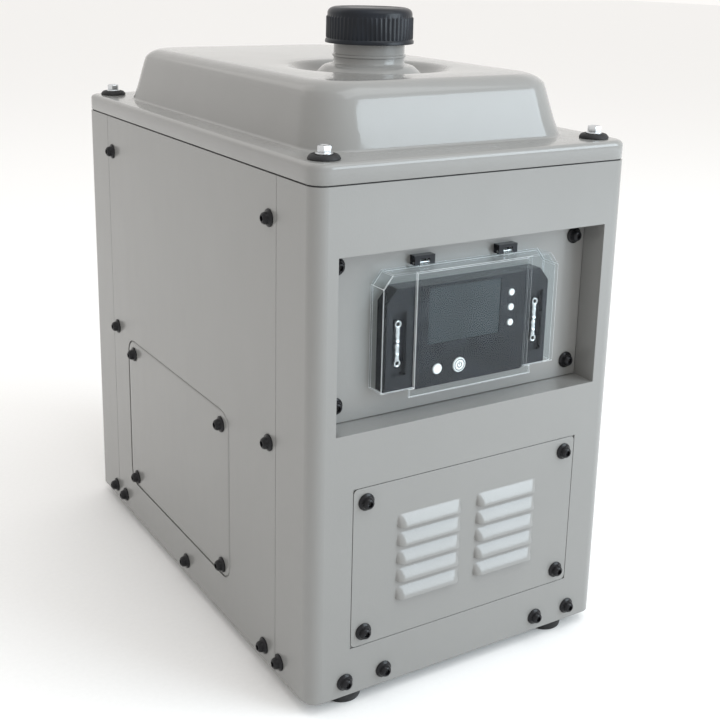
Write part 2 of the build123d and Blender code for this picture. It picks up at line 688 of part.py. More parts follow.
# Clear protective cover: open at the back, raised middle, finger lip below, two knuckles on its top edge.
COVER_WALL = 1.8
COVER_OUT = 18.0
COVER_RISE = 2.0
COVER_MID_W = 113.0
COVER_BACK = 0.3
KNUCKLE_L = 8.6
KNUCKLE_R = 2.4
PIN_R = 1.0
cover_cut = 8.5
with BuildPart() as clear_cover:
    with BuildSketch(Plane.XZ.offset(-PLATE_Y + COVER_BACK)):
        with BuildLine():
            Polyline(*chamfered_outline(COVER_HALF_W, COVER_Z[0], COVER_Z[1], cover_cut), close=True)
        make_face()
    extrude(amount=COVER_OUT - COVER_BACK)
    cover_h = COVER_Z[1] - COVER_Z[0]
    with Locations((0, PLATE_Y - COVER_OUT / 2 - COVER_RISE / 2 - 1, (COVER_Z[0] + COVER_Z[1]) / 2)):
        Box(COVER_MID_W, COVER_OUT + COVER_RISE - 2, cover_h)
    with BuildSketch(Plane.XZ.offset(-PLATE_Y)):
        with BuildLine():
            Polyline(
                *chamfered_outline(
                    COVER_HALF_W - COVER_WALL, COVER_Z[0] - 1, COVER_Z[1] - COVER_WALL, cover_cut - 0.6
                ),
                close=True,
            )
        make_face()
    extrude(amount=COVER_OUT - COVER_WALL, mode=Mode.SUBTRACT)
    hollow_y = COVER_OUT + COVER_RISE - COVER_WALL
    hollow_z = cover_h - COVER_WALL
    with Locations((0, PLATE_Y - hollow_y / 2, COVER_Z[0] + hollow_z / 2)):
        Box(COVER_MID_W - 2 * COVER_WALL, hollow_y, hollow_z, mode=Mode.SUBTRACT)
    with Locations((0, PLATE_Y - COVER_OUT - COVER_RISE + COVER_WALL / 2, COVER_Z[0] - 3)):
        Box(COVER_MID_W + 8, COVER_WALL, 7)
    with Locations(*[(s * HINGE_X, HINGE_Y, HINGE_Z - 1.7) for s in (-1, 1)]):
        Box(KNUCKLE_L, 2 * KNUCKLE_R, 3.4)
    with Locations(*[
        Plane(origin=(s * HINGE_X, HINGE_Y, HINGE_Z), x_dir=(0, 1, 0), z_dir=(1, 0, 0)) for s in (-1, 1)
    ]):
        Cylinder(KNUCKLE_R, KNUCKLE_L)
        Cylinder(PIN_R + 0.06, KNUCKLE_L + 2, mode=Mode.SUBTRACT)
keep(clear_cover, "clear_cover")

# Black hinge clips: two lugs and a bridge round each knuckle, fixed to the plate.
CLIP_W = 19.0
CLIP_TOP = HINGE_Z + 5.8
CLIP_FRONT = 2.0
with BuildPart() as hinge_clips:
    clip_d = PLATE_Y - (HINGE_Y - CLIP_FRONT)
    clip_z = (HINGE_Z - 1.8, CLIP_TOP)
    with Locations(*[(s * HINGE_X, PLATE_Y - clip_d / 2, sum(clip_z) / 2) for s in (-1, 1)]):
        Box(CLIP_W, clip_d, clip_z[1] - clip_z[0])
        with Locations((0, -2, -2.7)):
            Box(KNUCKLE_L + 0.8, clip_d + 6, 7.6, mode=Mode.SUBTRACT)
    with Locations(*[
        Plane(origin=(s * HINGE_X, HINGE_Y, HINGE_Z), x_dir=(0, 1, 0), z_dir=(1, 0, 0)) for s in (-1, 1)
    ]):
        Cylinder(PIN_R, CLIP_W + 2, mode=Mode.SUBTRACT)
keep(hinge_clips, "hinge_clips")

with BuildPart() as hinge_pins:
    with Locations(*[
        Plane(origin=(s * HINGE_X, HINGE_Y, HINGE_Z), x_dir=(0, 1, 0), z_dir=(1, 0, 0)) for s in (-1, 1)
    ]):
        Cylinder(PIN_R, CLIP_W)
keep(hinge_pins, "hinge_pins")

# ---- engine bed ---------------------------------------------------------------------------------------------
RUBBER_H = 16.0
RAIL_T = 3.0
rail_low = BOTTOM + TRAY_T + RUBBER_H
with BuildPart() as rubber_mounts:
    with BuildSketch(Plane.XY.offset(BOTTOM + TRAY_T)):
        with Locations(*MOUNT_POINTS):
            Circle(11)
    extrude(amount=RUBBER_H)
    fillet(rubber_mounts.edges().filter_by(GeomType.CIRCLE), 1.5)
keep(rubber_mounts, "rubber_mounts")

with BuildPart() as engine_rails:
    for sx in (-1, 1):
        with Locations((CRANK_X + sx * RAIL_X, 0, rail_low + RAIL_T / 2)):
            Box(32, 170, RAIL_T)
        with Locations((CRANK_X + sx * (RAIL_X + 14.5), 0, rail_low + 10)):
            Box(RAIL_T, 170, 20)
    with Locations(*[(CRANK_X, y, rail_low + RAIL_T / 2) for y in (-74, 74)]):
        Box(2 * RAIL_X, 18, RAIL_T)
keep(engine_rails, "engine_rails")

# ---- engine -------------------------------------------------------------------------------------------------
case_low = rail_low + RAIL_T
CASE_W = 118.0
CASE_Y = (-58.0, 44.0)
CASE_TOP = CRANK_Z + 46.0
BEARING_R = 15.0
SHAFT_R = 10.0


def crank_cylinder(radius, y0, y1, mode=Mode.ADD):
    """Cylinder on the crankshaft's axis from y0 to y1."""
    with Locations(Plane(origin=(CRANK_X, y0, CRANK_Z), x_dir=(1, 0, 0), z_dir=(0, 1, 0))):
        Cylinder(radius, y1 - y0, align=(Align.CENTER, Align.CENTER, Align.MIN), mode=mode)


with BuildPart() as crankcase:
    with Locations((CRANK_X, sum(CASE_Y) / 2, (case_low + CASE_TOP) / 2)):
        Box(CASE_W, CASE_Y[1] - CASE_Y[0], CASE_TOP - case_low)
    fillet(crankcase.edges().filter_by(Axis.Y), 10)
    crank_cylinder(BEARING_R + 8, CASE_Y[0] - 8, CASE_Y[0] + 2)
    with Locations((CRANK_X, sum(CASE_Y) / 2 + 4, (case_low + CASE_TOP) / 2)):
        Box(CASE_W - 16, CASE_Y[1] - CASE_Y[0] - 8, CASE_TOP - case_low - 16, mode=Mode.SUBTRACT)
    crank_cylinder(SHAFT_R + 0.05, CASE_Y[0] - 10, CASE_Y[1], Mode.SUBTRACT)
    with Locations((CRANK_X, -7, CASE_TOP)):
        Cylinder(27.5, 40, mode=Mode.SUBTRACT)
keep(crankcase, "crankcase")

with BuildPart() as crankcase_cover:
    with Locations((CRANK_X, CASE_Y[1] + 5, (case_low + CASE_TOP) / 2)):
        Box(CASE_W, 10, CASE_TOP - case_low)
    fillet(crankcase_cover.edges().filter_by(Axis.Y), 10)
    crank_cylinder(BEARING_R + 6, CASE_Y[1] + 9, CASE_Y[1] + 20)
    crank_cylinder(SHAFT_R + 0.05, CASE_Y[1] - 1, CASE_Y[1] + 16, Mode.SUBTRACT)
keep(crankcase_cover, "crankcase_cover")

BORE_R = 26.0
BARREL_Y = -7.0
BARREL_TOP = CASE_TOP + 58.0
HEAD_TOP = BARREL_TOP + 34.0
COVER_TOP = HEAD_TOP + 24.0
FIN_PITCH = 8.0
with BuildPart() as cylinder_barrel:
    with Locations((CRANK_X, BARREL_Y, (CASE_TOP + BARREL_TOP) / 2)):
        Cylinder(33, BARREL_TOP - CASE_TOP)
    for i in range(6):
        with BuildSketch(Plane.XY.offset(CASE_TOP + 10 + i * FIN_PITCH)):
            with Locations((CRANK_X, BARREL_Y)):
                RectangleRounded(104, 96, 14)
        extrude(amount=2.4)
    with Locations((CRANK_X, BARREL_Y, (CASE_TOP + BARREL_TOP) / 2 - 4)):
        Cylinder(27.2, BARREL_TOP - CASE_TOP + 20)
        Cylinder(BORE_R, BARREL_TOP - CASE_TOP + 40, mode=Mode.SUBTRACT)
    with Locations((CRANK_X, BARREL_Y, BARREL_TOP + 10)):
        Box(80, 80, 20, mode=Mode.SUBTRACT)
keep(cylinder_barrel, "cylinder_barrel")

PLUG_X = CRANK_X + 34.0
PORT_R = 9.0
with BuildPart() as cylinder_head:
    with Locations((CRANK_X, BARREL_Y, (BARREL_TOP + HEAD_TOP) / 2)):
        Box(84, 80, HEAD_TOP - BARREL_TOP)
    for i in range(4):
        with BuildSketch(Plane.XY.offset(BARREL_TOP + 3 + i * FIN_PITCH)):
            with Locations((CRANK_X, BARREL_Y)):
                RectangleRounded(106, 98, 14)
        extrude(amount=2.4)
    with Locations((CRANK_X, BARREL_Y, BARREL_TOP)):
        Cylinder(BORE_R - 2, 12, mode=Mode.SUBTRACT)
    with Locations((PLUG_X + 8, BARREL_Y + 2, (BARREL_TOP + HEAD_TOP) / 2 + 2)):
        Box(46, 24, 40, mode=Mode.SUBTRACT)
    with Locations((CRANK_X - 40, BARREL_Y, BARREL_TOP + 15)):
        Cylinder(10, 40, rotation=(0, 90, 0), mode=Mode.SUBTRACT)
    with Locations((CRANK_X, BARREL_Y + 40, BARREL_TOP + 15)):
        Cylinder(PORT_R, 40, rotation=(90, 0, 0), mode=Mode.SUBTRACT)
keep(cylinder_head, "cylinder_head")

with BuildPart() as rocker_cover:
    with Locations((CRANK_X - 6, BARREL_Y, (HEAD_TOP + COVER_TOP) / 2)):
        Box(70, 74, COVER_TOP - HEAD_TOP)
    fillet(rocker_cover.edges().filter_by(Axis.Z), 12)
    fillet(rocker_cover.faces().sort_by(Axis.Z)[-1].edges(), 6)
keep(rocker_cover, "rocker_cover")

# Spark plug, standing in the head's side pocket, and its moulded cap with the lead to the coil.
plug_z = BARREL_TOP + 12.0
with BuildPart() as spark_plug:
    with Locations(Plane(origin=(CRANK_X + 27, BARREL_Y + 2, plug_z), x_dir=(0, 1, 0), z_dir=(1, 0, 0))):
        Cylinder(5, 6, align=(Align.CENTER, Align.CENTER, Align.MIN))
        with Locations((0, 0, 6)):
            Cylinder(9, 8, align=(Align.CENTER, Align.CENTER, Align.MIN))
        with Locations((0, 0, 14)):
            Cone(6, 4, 20, align=(Align.CENTER, Align.CENTER, Align.MIN))
keep(spark_plug, "spark_plug")

CAP_X = CRANK_X + 61.2
COIL = (104.0, -38.0, BOTTOM + 120.0)
with BuildPart() as plug_lead:
    with Locations((CAP_X + 8, BARREL_Y + 2, plug_z)):
        Box(16, 15, 15)
    with BuildLine() as lead_path:
        FilletPolyline(
            (CAP_X + 12, BARREL_Y + 2, plug_z - 7),
            (CAP_X + 12, BARREL_Y + 2, plug_z - 37),
            (COIL[0] + 4, COIL[1], COIL[2] + 59),
            (COIL[0] + 4, COIL[1], COIL[2] + 16),
            radius=(20, 26),
        )
    with BuildSketch(Plane(origin=lead_path.line @ 0, z_dir=lead_path.line % 0)):
        Circle(3.5)
    sweep(path=lead_path.line)
keep(plug_lead, "plug_lead")

with BuildPart() as ignition_coil:
    with Locations(COIL):
        Box(28, 34, 32)
    with Locations((COIL[0] + 20, COIL[1], COIL[2])):
        Box(14, 20, 12)
    with Locations((COIL[0] + 26, COIL[1], COIL[2])):
        Box(3, 30, 44)
keep(ignition_coil, "ignition_coil")

# Carburettor and air cleaner on the left, drawing from under the left hatch.
CARB_X = CRANK_X - 53.0
inlet_z = BARREL_TOP + 15.0
THROTTLE_Y = BARREL_Y - 9.0
THROTTLE_Z = inlet_z + 41.0
SPINDLE_R = 2.0
SPINDLE_L = 18.0
with BuildPart() as carburettor:
    with Locations((CARB_X - 12, BARREL_Y, inlet_z)):
        Cylinder(14, 24, rotation=(0, 90, 0))
    with Locations((CARB_X - 12, BARREL_Y, inlet_z - 20)):
        Cylinder(11, 20)
    with Locations((CARB_X - 12, BARREL_Y, inlet_z + 15)):
        Box(18, 24, 10)
    with Locations((CARB_X - 12, THROTTLE_Y, (inlet_z + 16 + THROTTLE_Z - 0.5) / 2)):
        Cylinder(4, THROTTLE_Z - 0.5 - inlet_z - 16)
    with Locations((CARB_X - 12, THROTTLE_Y, THROTTLE_Z - SPINDLE_L / 2)):
        Cylinder(SPINDLE_R + 0.05, SPINDLE_L + 1, mode=Mode.SUBTRACT)
    with Locations((CARB_X - 12, BARREL_Y + 18, inlet_z - 18)):
        Cylinder(2.6, 18, rotation=(90, 0, 0))
    with Locations((CARB_X - 12, BARREL_Y, inlet_z)):
        Cylinder(10, 30, rotation=(0, 90, 0), mode=Mode.SUBTRACT)
keep(carburettor, "carburettor")

with BuildPart() as throttle_lever:
    with Locations((CARB_X - 12, THROTTLE_Y, THROTTLE_Z - SPINDLE_L / 2)):
        Cylinder(SPINDLE_R, SPINDLE_L)
    with Locations((CARB_X - 12, THROTTLE_Y, THROTTLE_Z + 1.0)):
        Cylinder(5, 2)
    with Locations((CARB_X - 12, THROTTLE_Y - 12, THROTTLE_Z + 1.0)):
        Box(6, 26, 2)
    with Locations((CARB_X - 12, THROTTLE_Y - 22, THROTTLE_Z + 1.0)):
        Cylinder(1.5, 6, mode=Mode.SUBTRACT)
keep(throttle_lever, "throttle_lever")

with BuildPart() as air_cleaner:
    with Locations((CARB_X - 24 - 24, BARREL_Y, inlet_z)):
        Box(48, 110, 78)
    fillet(air_cleaner.edges().filter_by(Axis.X), 16)
    with Locations((CARB_X - 24 - 24, BARREL_Y, inlet_z)):
        Box(42, 102, 70, mode=Mode.SUBTRACT)
    with Locations((CARB_X - 26, BARREL_Y, inlet_z)):
        Cylinder(9.5, 10, rotation=(0, 90, 0), mode=Mode.SUBTRACT)
keep(air_cleaner, "air_cleaner")

# Exhaust: flanged pipe from the back of the head down to the silencer, and out through the rear shell.
PIPE_R = 11.0
pipe_y = BARREL_Y + 49.0
MUFFLER_Y = (92.0, 204.0)
MUFFLER_Z = (BOTTOM + 190.0, BOTTOM + 300.0)
MUFFLER_X = (-100.0, 92.0)
TAIL_R = 16.0
TAIL_END = HALF_D + 6.0
with BuildPart() as exhaust_pipe:
    with Locations((CRANK_X, pipe_y + 2, inlet_z)):
        Box(44, 4, 30)
    with Locations((CRANK_X, (pipe_y + 4 + MUFFLER_Y[0]) / 2, inlet_z)):
        Cylinder(PIPE_R, MUFFLER_Y[0] - pipe_y - 4, rotation=(90, 0, 0))
    with Locations((CRANK_X, (pipe_y + MUFFLER_Y[0]) / 2, inlet_z)):
        Cylinder(PIPE_R - 2, MUFFLER_Y[0] - pipe_y + 4, rotation=(90, 0, 0), mode=Mode.SUBTRACT)
keep(exhaust_pipe, "exhaust_pipe")

with BuildPart() as muffler:
    with Locations((sum(MUFFLER_X) / 2, sum(MUFFLER_Y) / 2, sum(MUFFLER_Z) / 2)):
        Box(MUFFLER_X[1] - MUFFLER_X[0], MUFFLER_Y[1] - MUFFLER_Y[0], MUFFLER_Z[1] - MUFFLER_Z[0])
    fillet(muffler.edges().filter_by(Axis.X), 30)
    with Locations((sum(MUFFLER_X) / 2, sum(MUFFLER_Y) / 2, sum(MUFFLER_Z) / 2)):
        Box(
            MUFFLER_X[1] - MUFFLER_X[0] - 4,
            MUFFLER_Y[1] - MUFFLER_Y[0] - 24,
            MUFFLER_Z[1] - MUFFLER_Z[0] - 24,
            mode=Mode.SUBTRACT,
        )
    with Locations((EXHAUST[0], (MUFFLER_Y[1] + TAIL_END) / 2 - 2, EXHAUST[1])):
        Cylinder(TAIL_R, TAIL_END - MUFFLER_Y[1] + 4, rotation=(90, 0, 0))
        Cylinder(TAIL_R - 2, TAIL_END - MUFFLER_Y[1] + 40, rotation=(90, 0, 0), mode=Mode.SUBTRACT)
    with Locations((CRANK_X, MUFFLER_Y[0], inlet_z)):
        Cylinder(PIPE_R - 2, 30, rotation=(90, 0, 0), mode=Mode.SUBTRACT)
keep(muffler, "muffler")

# Two straps from the tray that carry the silencer.
with BuildPart() as muffler_stays:
    with Locations(*[(x, 150, (BOTTOM + TRAY_T + MUFFLER_Z[0]) / 2) for x in (-70, 62)]):
        Box(24, 3, MUFFLER_Z[0] - BOTTOM - TRAY_T)
    with Locations(*[(x, 160, BOTTOM + TRAY_T + 1.5) for x in (-70, 62)]):
        Box(24, 23, 3)
    with Locations(*[(x, 150, MUFFLER_Z[0] - 1.5) for x in (-70, 62)]):
        Box(24, 40, 3)
keep(muffler_stays, "muffler_stays")

# ---- rotating group and alternator --------------------------------------------------------------------------
ROTOR_Y = (-128.0, -82.0)
ROTOR_R = 74.0
THROW = 19.0
with BuildPart() as crankshaft:
    crank_cylinder(SHAFT_R, -172, -30)
    crank_cylinder(SHAFT_R, 14, CASE_Y[1] + 15)
    for y0 in (-30, 4):
        crank_cylinder(30, y0, y0 + 10)
    with Locations(Plane(origin=(CRANK_X, -22, CRANK_Z + THROW), x_dir=(1, 0, 0), z_dir=(0, 1, 0))):
        Cylinder(9, 28, align=(Align.CENTER, Align.CENTER, Align.MIN))
keep(crankshaft, "crankshaft")

with BuildPart() as magnet_rotor:
    crank_cylinder(ROTOR_R, ROTOR_Y[0], ROTOR_Y[1])
    crank_cylinder(ROTOR_R - 6, ROTOR_Y[0] + 6, ROTOR_Y[1] + 1, Mode.SUBTRACT)
    for i in range(12):
        angle = i * 30
        with Locations(
            Plane(origin=(CRANK_X, sum(ROTOR_Y) / 2 + 5, CRANK_Z), x_dir=(1, 0, 0), z_dir=(0, 1, 0))
            * Rotation(0, 0, angle)
            * Location((ROTOR_R - 8, 0, 0))
        ):
            Box(5, 24, 30)
    crank_cylinder(20, ROTOR_Y[0], ROTOR_Y[0] + 14)
    crank_cylinder(SHAFT_R, ROTOR_Y[0] - 2, ROTOR_Y[1] + 2, Mode.SUBTRACT)
keep(magnet_rotor, "magnet_rotor")

STATOR_R = ROTOR_R - 12.0
with BuildPart() as stator:
    crank_cylinder(STATOR_R, ROTOR_Y[0] + 16, ROTOR_Y[1] - 2)
    crank_cylinder(22, ROTOR_Y[1] - 2, CASE_Y[0] - 8)
    for i in range(12):
        with Locations(
            Plane(origin=(CRANK_X, (ROTOR_Y[0] + ROTOR_Y[1] + 14) / 2, CRANK_Z), x_dir=(1, 0, 0), z_dir=(0, 1, 0))
            * Rotation(0, 0, i * 30 + 15)
            * Location((STATOR_R - 12, 0, 0))
        ):
            Box(20, 7, 60, mode=Mode.SUBTRACT)
    crank_cylinder(SHAFT_R + 6, ROTOR_Y[0], CASE_Y[0] - 7, Mode.SUBTRACT)
keep(stator, "stator")

FAN_R = 82.0
FAN_Y = (-170.0, -132.0)
BLADES = 16
with BuildPart() as cooling_fan:
    crank_cylinder(FAN_R, FAN_Y[1] - 3, FAN_Y[1])
    crank_cylinder(22, FAN_Y[0], FAN_Y[1])
    for i in range(BLADES):
        with Locations(
            Plane(origin=(CRANK_X, sum(FAN_Y) / 2, CRANK_Z), x_dir=(1, 0, 0), z_dir=(0, 1, 0))
            * Rotation(0, 0, i * 360 / BLADES)
            * Location((FAN_R - 24, 0, 0))
            * Rotation(0, 0, 25)
        ):
            Box(40, 2.2, FAN_Y[1] - FAN_Y[0] - 4)
    crank_cylinder(SHAFT_R, FAN_Y[0] - 1, FAN_Y[1] + 1, Mode.SUBTRACT)
keep(cooling_fan, "cooling_fan")

SHROUD_Y = (-182.0, -66.0)
with BuildPart() as fan_shroud:
    crank_cylinder(94, SHROUD_Y[0], SHROUD_Y[1])
    crank_cylinder(91.5, SHROUD_Y[0] + 2.5, SHROUD_Y[1] + 1, Mode.SUBTRACT)
    crank_cylinder(60, SHROUD_Y[0] - 1, SHROUD_Y[0] + 4, Mode.SUBTRACT)
    with Locations((CRANK_X, -70, CRANK_Z + 80)):
        Box(70, 40, 80, mode=Mode.SUBTRACT)
    with Locations((CRANK_X, -120, CRANK_Z - 92)):
        Box(200, 130, 20, mode=Mode.SUBTRACT)
keep(fan_shroud, "fan_shroud")

# ---- power electronics, fuel line ---------------------------------------------------------------------------
MODULE_X = (108.0, 142.0)
MODULE_Y = (40.0, 170.0)
MODULE_Z = (BOTTOM + 46.0, BOTTOM + 176.0)
with BuildPart() as power_module:
    with Locations(((MODULE_X[0] + MODULE_X[1] - 20) / 2, sum(MODULE_Y) / 2, sum(MODULE_Z) / 2)):
        Box(MODULE_X[1] - MODULE_X[0] - 20, MODULE_Y[1] - MODULE_Y[0], MODULE_Z[1] - MODULE_Z[0])
    with Locations((MODULE_X[1] - 11, sum(MODULE_Y) / 2, sum(MODULE_Z) / 2)):
        with GridLocations(1, 10, 1, 13):
            Box(19, 2.4, MODULE_Z[1] - MODULE_Z[0])
keep(power_module, "power_module")

with BuildPart() as module_bracket:
    with Locations((MODULE_X[0] - 1.25, sum(MODULE_Y) / 2, (BOTTOM + TRAY_T + MODULE_Z[1]) / 2)):
        Box(2.5, 60, MODULE_Z[1] - BOTTOM - TRAY_T)
    with Locations((MODULE_X[0] + 14, sum(MODULE_Y) / 2, BOTTOM + TRAY_T + 1.25)):
        Box(30, 60, 2.5)
keep(module_bracket, "module_bracket")

# Two panel sockets through the rear shell, each held by a nut behind the sheet.
SOCKET_BORE_R = 4.0
with BuildPart() as output_terminals:
    with Locations(*[rear_site(x, z) for x, z in TERMINALS]):
        Cylinder(12, 2.5, align=(Align.CENTER, Align.CENTER, Align.MIN))
        Cylinder(9, 6, align=(Align.CENTER, Align.CENTER, Align.MIN))
        with Locations((0, 0, -SHEET - 24)):
            Cylinder(TERMINAL_HOLE_R - 0.3, SHEET + 24, align=(Align.CENTER, Align.CENTER, Align.MIN))
        with Locations((0, 0, -SHEET - 5)):
            Cylinder(11, 5, align=(Align.CENTER, Align.CENTER, Align.MIN))
        with Locations((0, 0, -SHEET - 18)):
            Cylinder(SOCKET_BORE_R, 40, align=(Align.CENTER, Align.CENTER, Align.MIN), mode=Mode.SUBTRACT)
keep(output_terminals, "output_terminals")

# Fuel hose from the tank's spigot down to the carburettor bowl.
HOSE_R = 4.5
hose_end_y = BARREL_Y + 27.0
with BuildPart() as fuel_hose:
    with BuildLine() as hose_path:
        FilletPolyline(
            (SPIGOT[0], SPIGOT[1], BELLY_LOW - 13),
            (SPIGOT[0], SPIGOT[1], BELLY_LOW - 46),
            (CARB_X - 12, hose_end_y + 34, inlet_z - 18),
            (CARB_X - 12, hose_end_y, inlet_z - 18),
            radius=16,
        )
    with BuildSketch(Plane(origin=hose_path.line @ 0, z_dir=hose_path.line % 0)):
        Circle(HOSE_R)
    sweep(path=hose_path.line)
keep(fuel_hose, "fuel_hose")
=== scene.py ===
import math
from collections import Counter

import bpy
import numpy as np
from mathutils import Matrix, Vector


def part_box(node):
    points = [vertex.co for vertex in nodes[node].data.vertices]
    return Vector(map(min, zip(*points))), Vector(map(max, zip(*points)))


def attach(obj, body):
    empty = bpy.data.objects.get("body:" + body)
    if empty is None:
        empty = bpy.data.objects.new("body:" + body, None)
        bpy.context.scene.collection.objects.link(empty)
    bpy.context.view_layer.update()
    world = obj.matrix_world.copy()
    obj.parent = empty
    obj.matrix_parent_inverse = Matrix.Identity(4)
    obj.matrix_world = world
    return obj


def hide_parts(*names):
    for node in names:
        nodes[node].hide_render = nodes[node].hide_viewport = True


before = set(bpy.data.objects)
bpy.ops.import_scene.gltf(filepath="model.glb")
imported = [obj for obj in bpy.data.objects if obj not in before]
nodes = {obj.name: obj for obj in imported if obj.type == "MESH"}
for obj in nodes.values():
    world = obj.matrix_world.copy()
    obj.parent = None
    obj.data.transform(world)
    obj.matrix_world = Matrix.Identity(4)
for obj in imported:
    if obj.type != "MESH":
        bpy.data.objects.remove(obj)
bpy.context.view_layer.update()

MM = 0.001

# Studio: a pale floor, a window of cool light ahead and to the right, a softer lamp overhead and a faint one
# behind, so that the front and the slopes that face the window are bright and the left side is in half shade.
CAMERA_PLACE = (-0.5417, -0.9370, 0.5861)
CAMERA_TURN = (75.20, -1.23, -31.46)
LIGHTS = [
    # name, direction to the light, distance, width, height, watts, colour
    ("window", (0.574, -0.761, 0.31), 2.4, 1.4, 1.3, 38.0, (0.80, 0.92, 1.0)),
    ("overhead", (0.22, -0.55, 1.0), 2.2, 1.8, 1.4, 16.0, (0.94, 0.98, 1.0)),
    ("back_fill", (-0.5, 0.9, 0.9), 2.8, 1.6, 1.8, 4.0, (1.0, 0.98, 0.95)),
]
camera_data = bpy.data.cameras.new("camera")
camera_data.sensor_width = 36.0
camera_data.lens = 57.7
camera_data.shift_y = -0.13
camera = bpy.data.objects.new("camera", camera_data)
camera.location = CAMERA_PLACE
camera.rotation_euler = [math.radians(a) for a in CAMERA_TURN]
bpy.context.scene.collection.objects.link(camera)
bpy.context.scene.camera = camera
object_middle = Vector((0, 0, 0.27))
for light_name, toward, distance, width, height, watts, tint in LIGHTS:
    light = bpy.data.lights.new(light_name, "AREA")
    light.shape = "RECTANGLE"
    light.size = width
    light.size_y = height
    light.energy = watts
    light.color = tint
    lamp = bpy.data.objects.new(light_name, light)
    lamp.location = object_middle + Vector(toward).normalized() * distance
    lamp.rotation_euler = Vector(toward).to_track_quat("Z", "Y").to_euler()
    bpy.context.scene.collection.objects.link(lamp)
room = bpy.data.worlds.new("room")
room.use_nodes = True
room.node_tree.nodes["Background"].inputs["Color"].default_value = (1.0, 0.98, 0.955, 1)
room.node_tree.nodes["Background"].inputs["Strength"].default_value = 1.0
bpy.context.scene.world = room
bpy.context.scene.view_settings.view_transform = "Standard"


class Port:
    """An output socket of a finish. Arithmetic on it adds the Math nodes that the sum needs."""

    def __init__(self, finish, socket):
        self.finish = finish
        self.socket = socket

    def _math(self, operation, *values):
        return self.finish.add("Math", {"operation": operation}, dict(enumerate(values)))

    def __add__(self, other):
        return self._math("ADD", self, other)

    __radd__ = __add__

    def __sub__(self, other):
        return self._math("SUBTRACT", self, other)

    def __rsub__(self, other):
        return self._math("SUBTRACT", other, self)

    def __mul__(self, other):
        return self._math("MULTIPLY", self, other)

    __rmul__ = __mul__

    def __pow__(self, other):
        return self._math("POWER", self, other)

    def __gt__(self, other):
        return self._math("GREATER_THAN", self, other)

    def __lt__(self, other):
        return self._math("LESS_THAN", self, other)


class Finish:
    """A material being made: `add` puts in any node, the other methods are steps that many finishes share."""

    def __init__(self, name):
        self.material = bpy.data.materials.new(name)
        self.material.use_nodes = True
        self.tree = self.material.node_tree
        self.tree.nodes.clear()
        self.place = self.add("TexCoord", out="Object")

    def add(self, kind, settings=None, sockets=None, out=0):
        node = self.tree.nodes.new("ShaderNode" + kind)
        for key, value in (settings or {}).items():
            setattr(node, key, value)
        for key, value in (sockets or {}).items():
            if isinstance(value, Port):
                self.tree.links.new(value.socket, node.inputs[key])
            else:
                node.inputs[key].default_value = value
        return Port(self, node.outputs[out])

    def noise(self, size, detail=3.0, stretch=(1, 1, 1)):
        """Cloudy noise from 0 to 1 with features of about `size` metres, drawn out on an axis by `stretch`."""
        where = self.add("Mapping", None, {"Vector": self.place, "Scale": stretch})
        return self.add("TexNoise", None, {"Vector": where, "Scale": 1.0 / size, "Detail": detail})

    def between(self, value, low, high, to_low=0.0, to_high=1.0):
        """`value` mapped from low..high to to_low..to_high, held at the ends."""
        return self.add("MapRange", None, {0: value, 1: low, 2: high, 3: to_low, 4: to_high})

    def blend(self, mask, low, high):
        """Colour `low` where the mask is 0 and `high` where it is 1."""
        return self.add("Mix", {"data_type": "RGBA"}, {0: mask, 6: low, 7: high}, out=2)

    def relief(self, height, depth, edge=0.0):
        """Normal of a surface with that height map, `depth` metres deep, with its edges rounded by `edge`."""
        sockets = {"Height": height, "Distance": depth, "Strength": 1.0}
        if edge:
            sockets["Normal"] = self.add("Bevel", {"samples": 6}, {"Radius": edge})
        return self.add("Bump", None, sockets)

    def close(self, colour, roughness, normal=None, **constants):
        """Ends the finish in one surface shader. Constants are named by socket, with _ for a space."""
        sockets = {"Base Color": colour, "Roughness": roughness}
        if normal is not None:
            sockets["Normal"] = normal
        sockets.update({key.replace("_", " "): value for key, value in constants.items()})
        skin = self.add("BsdfPrincipled", None, sockets)
        self.add_output(skin)
        return self.material

    def add_output(self, skin):
        end = self.tree.nodes.new("ShaderNodeOutputMaterial")
        self.tree.links.new(skin.socket, end.inputs["Surface"])


def dress(finish, *names):
    """Puts a finish on CAD pieces in place of their plain one."""
    for name in names:
        piece = nodes[name]
        piece.data.materials.clear()
        piece.data.materials.append(finish)


floor_finish = Finish("floor_paper")
floor_speckle = floor_finish.noise(0.004)
floor_paper = floor_finish.close(
    floor_finish.blend(floor_speckle, (0.87, 0.87, 0.87, 1), (0.92, 0.92, 0.92, 1)), 0.7
)
bpy.ops.mesh.primitive_plane_add(size=30.0, location=(0, 0, 0))
floor = bpy.context.object
floor.name = "floor"
floor.data.materials.append(floor_paper)


# Base: a pressed steel tray with an upturned edge, powder coated in the case's warm light grey.
# The orange-peel of the coat is a fine low relief, and handling has left it a little uneven in gloss.
def powder_coat(name, colour, gloss=0.36):
    finish = Finish(name)
    peel = finish.noise(0.0016, 2.0)
    cloud = finish.noise(0.11, 4.0)
    rub = finish.noise(0.018, 6.0, (1, 1, 0.35))
    tone = finish.between(cloud * 0.7 + rub * 0.3, 0.3, 0.7)
    darker = tuple(c * 0.955 for c in colour[:3]) + (1,)
    return finish.close(
        finish.blend(tone, darker, colour),
        finish.between(rub, 0.3, 0.75, gloss - 0.02, gloss + 0.04),
        finish.relief(peel, 0.00006, 0.0007),
        Specular_IOR_Level=0.4,
        Coat_Weight=0.6,
        Coat_Roughness=0.14,
    )


CASE_GREY = (0.212, 0.212, 0.206, 1)
case_paint = powder_coat("case_paint", CASE_GREY)
dress(case_paint, "base_tray")


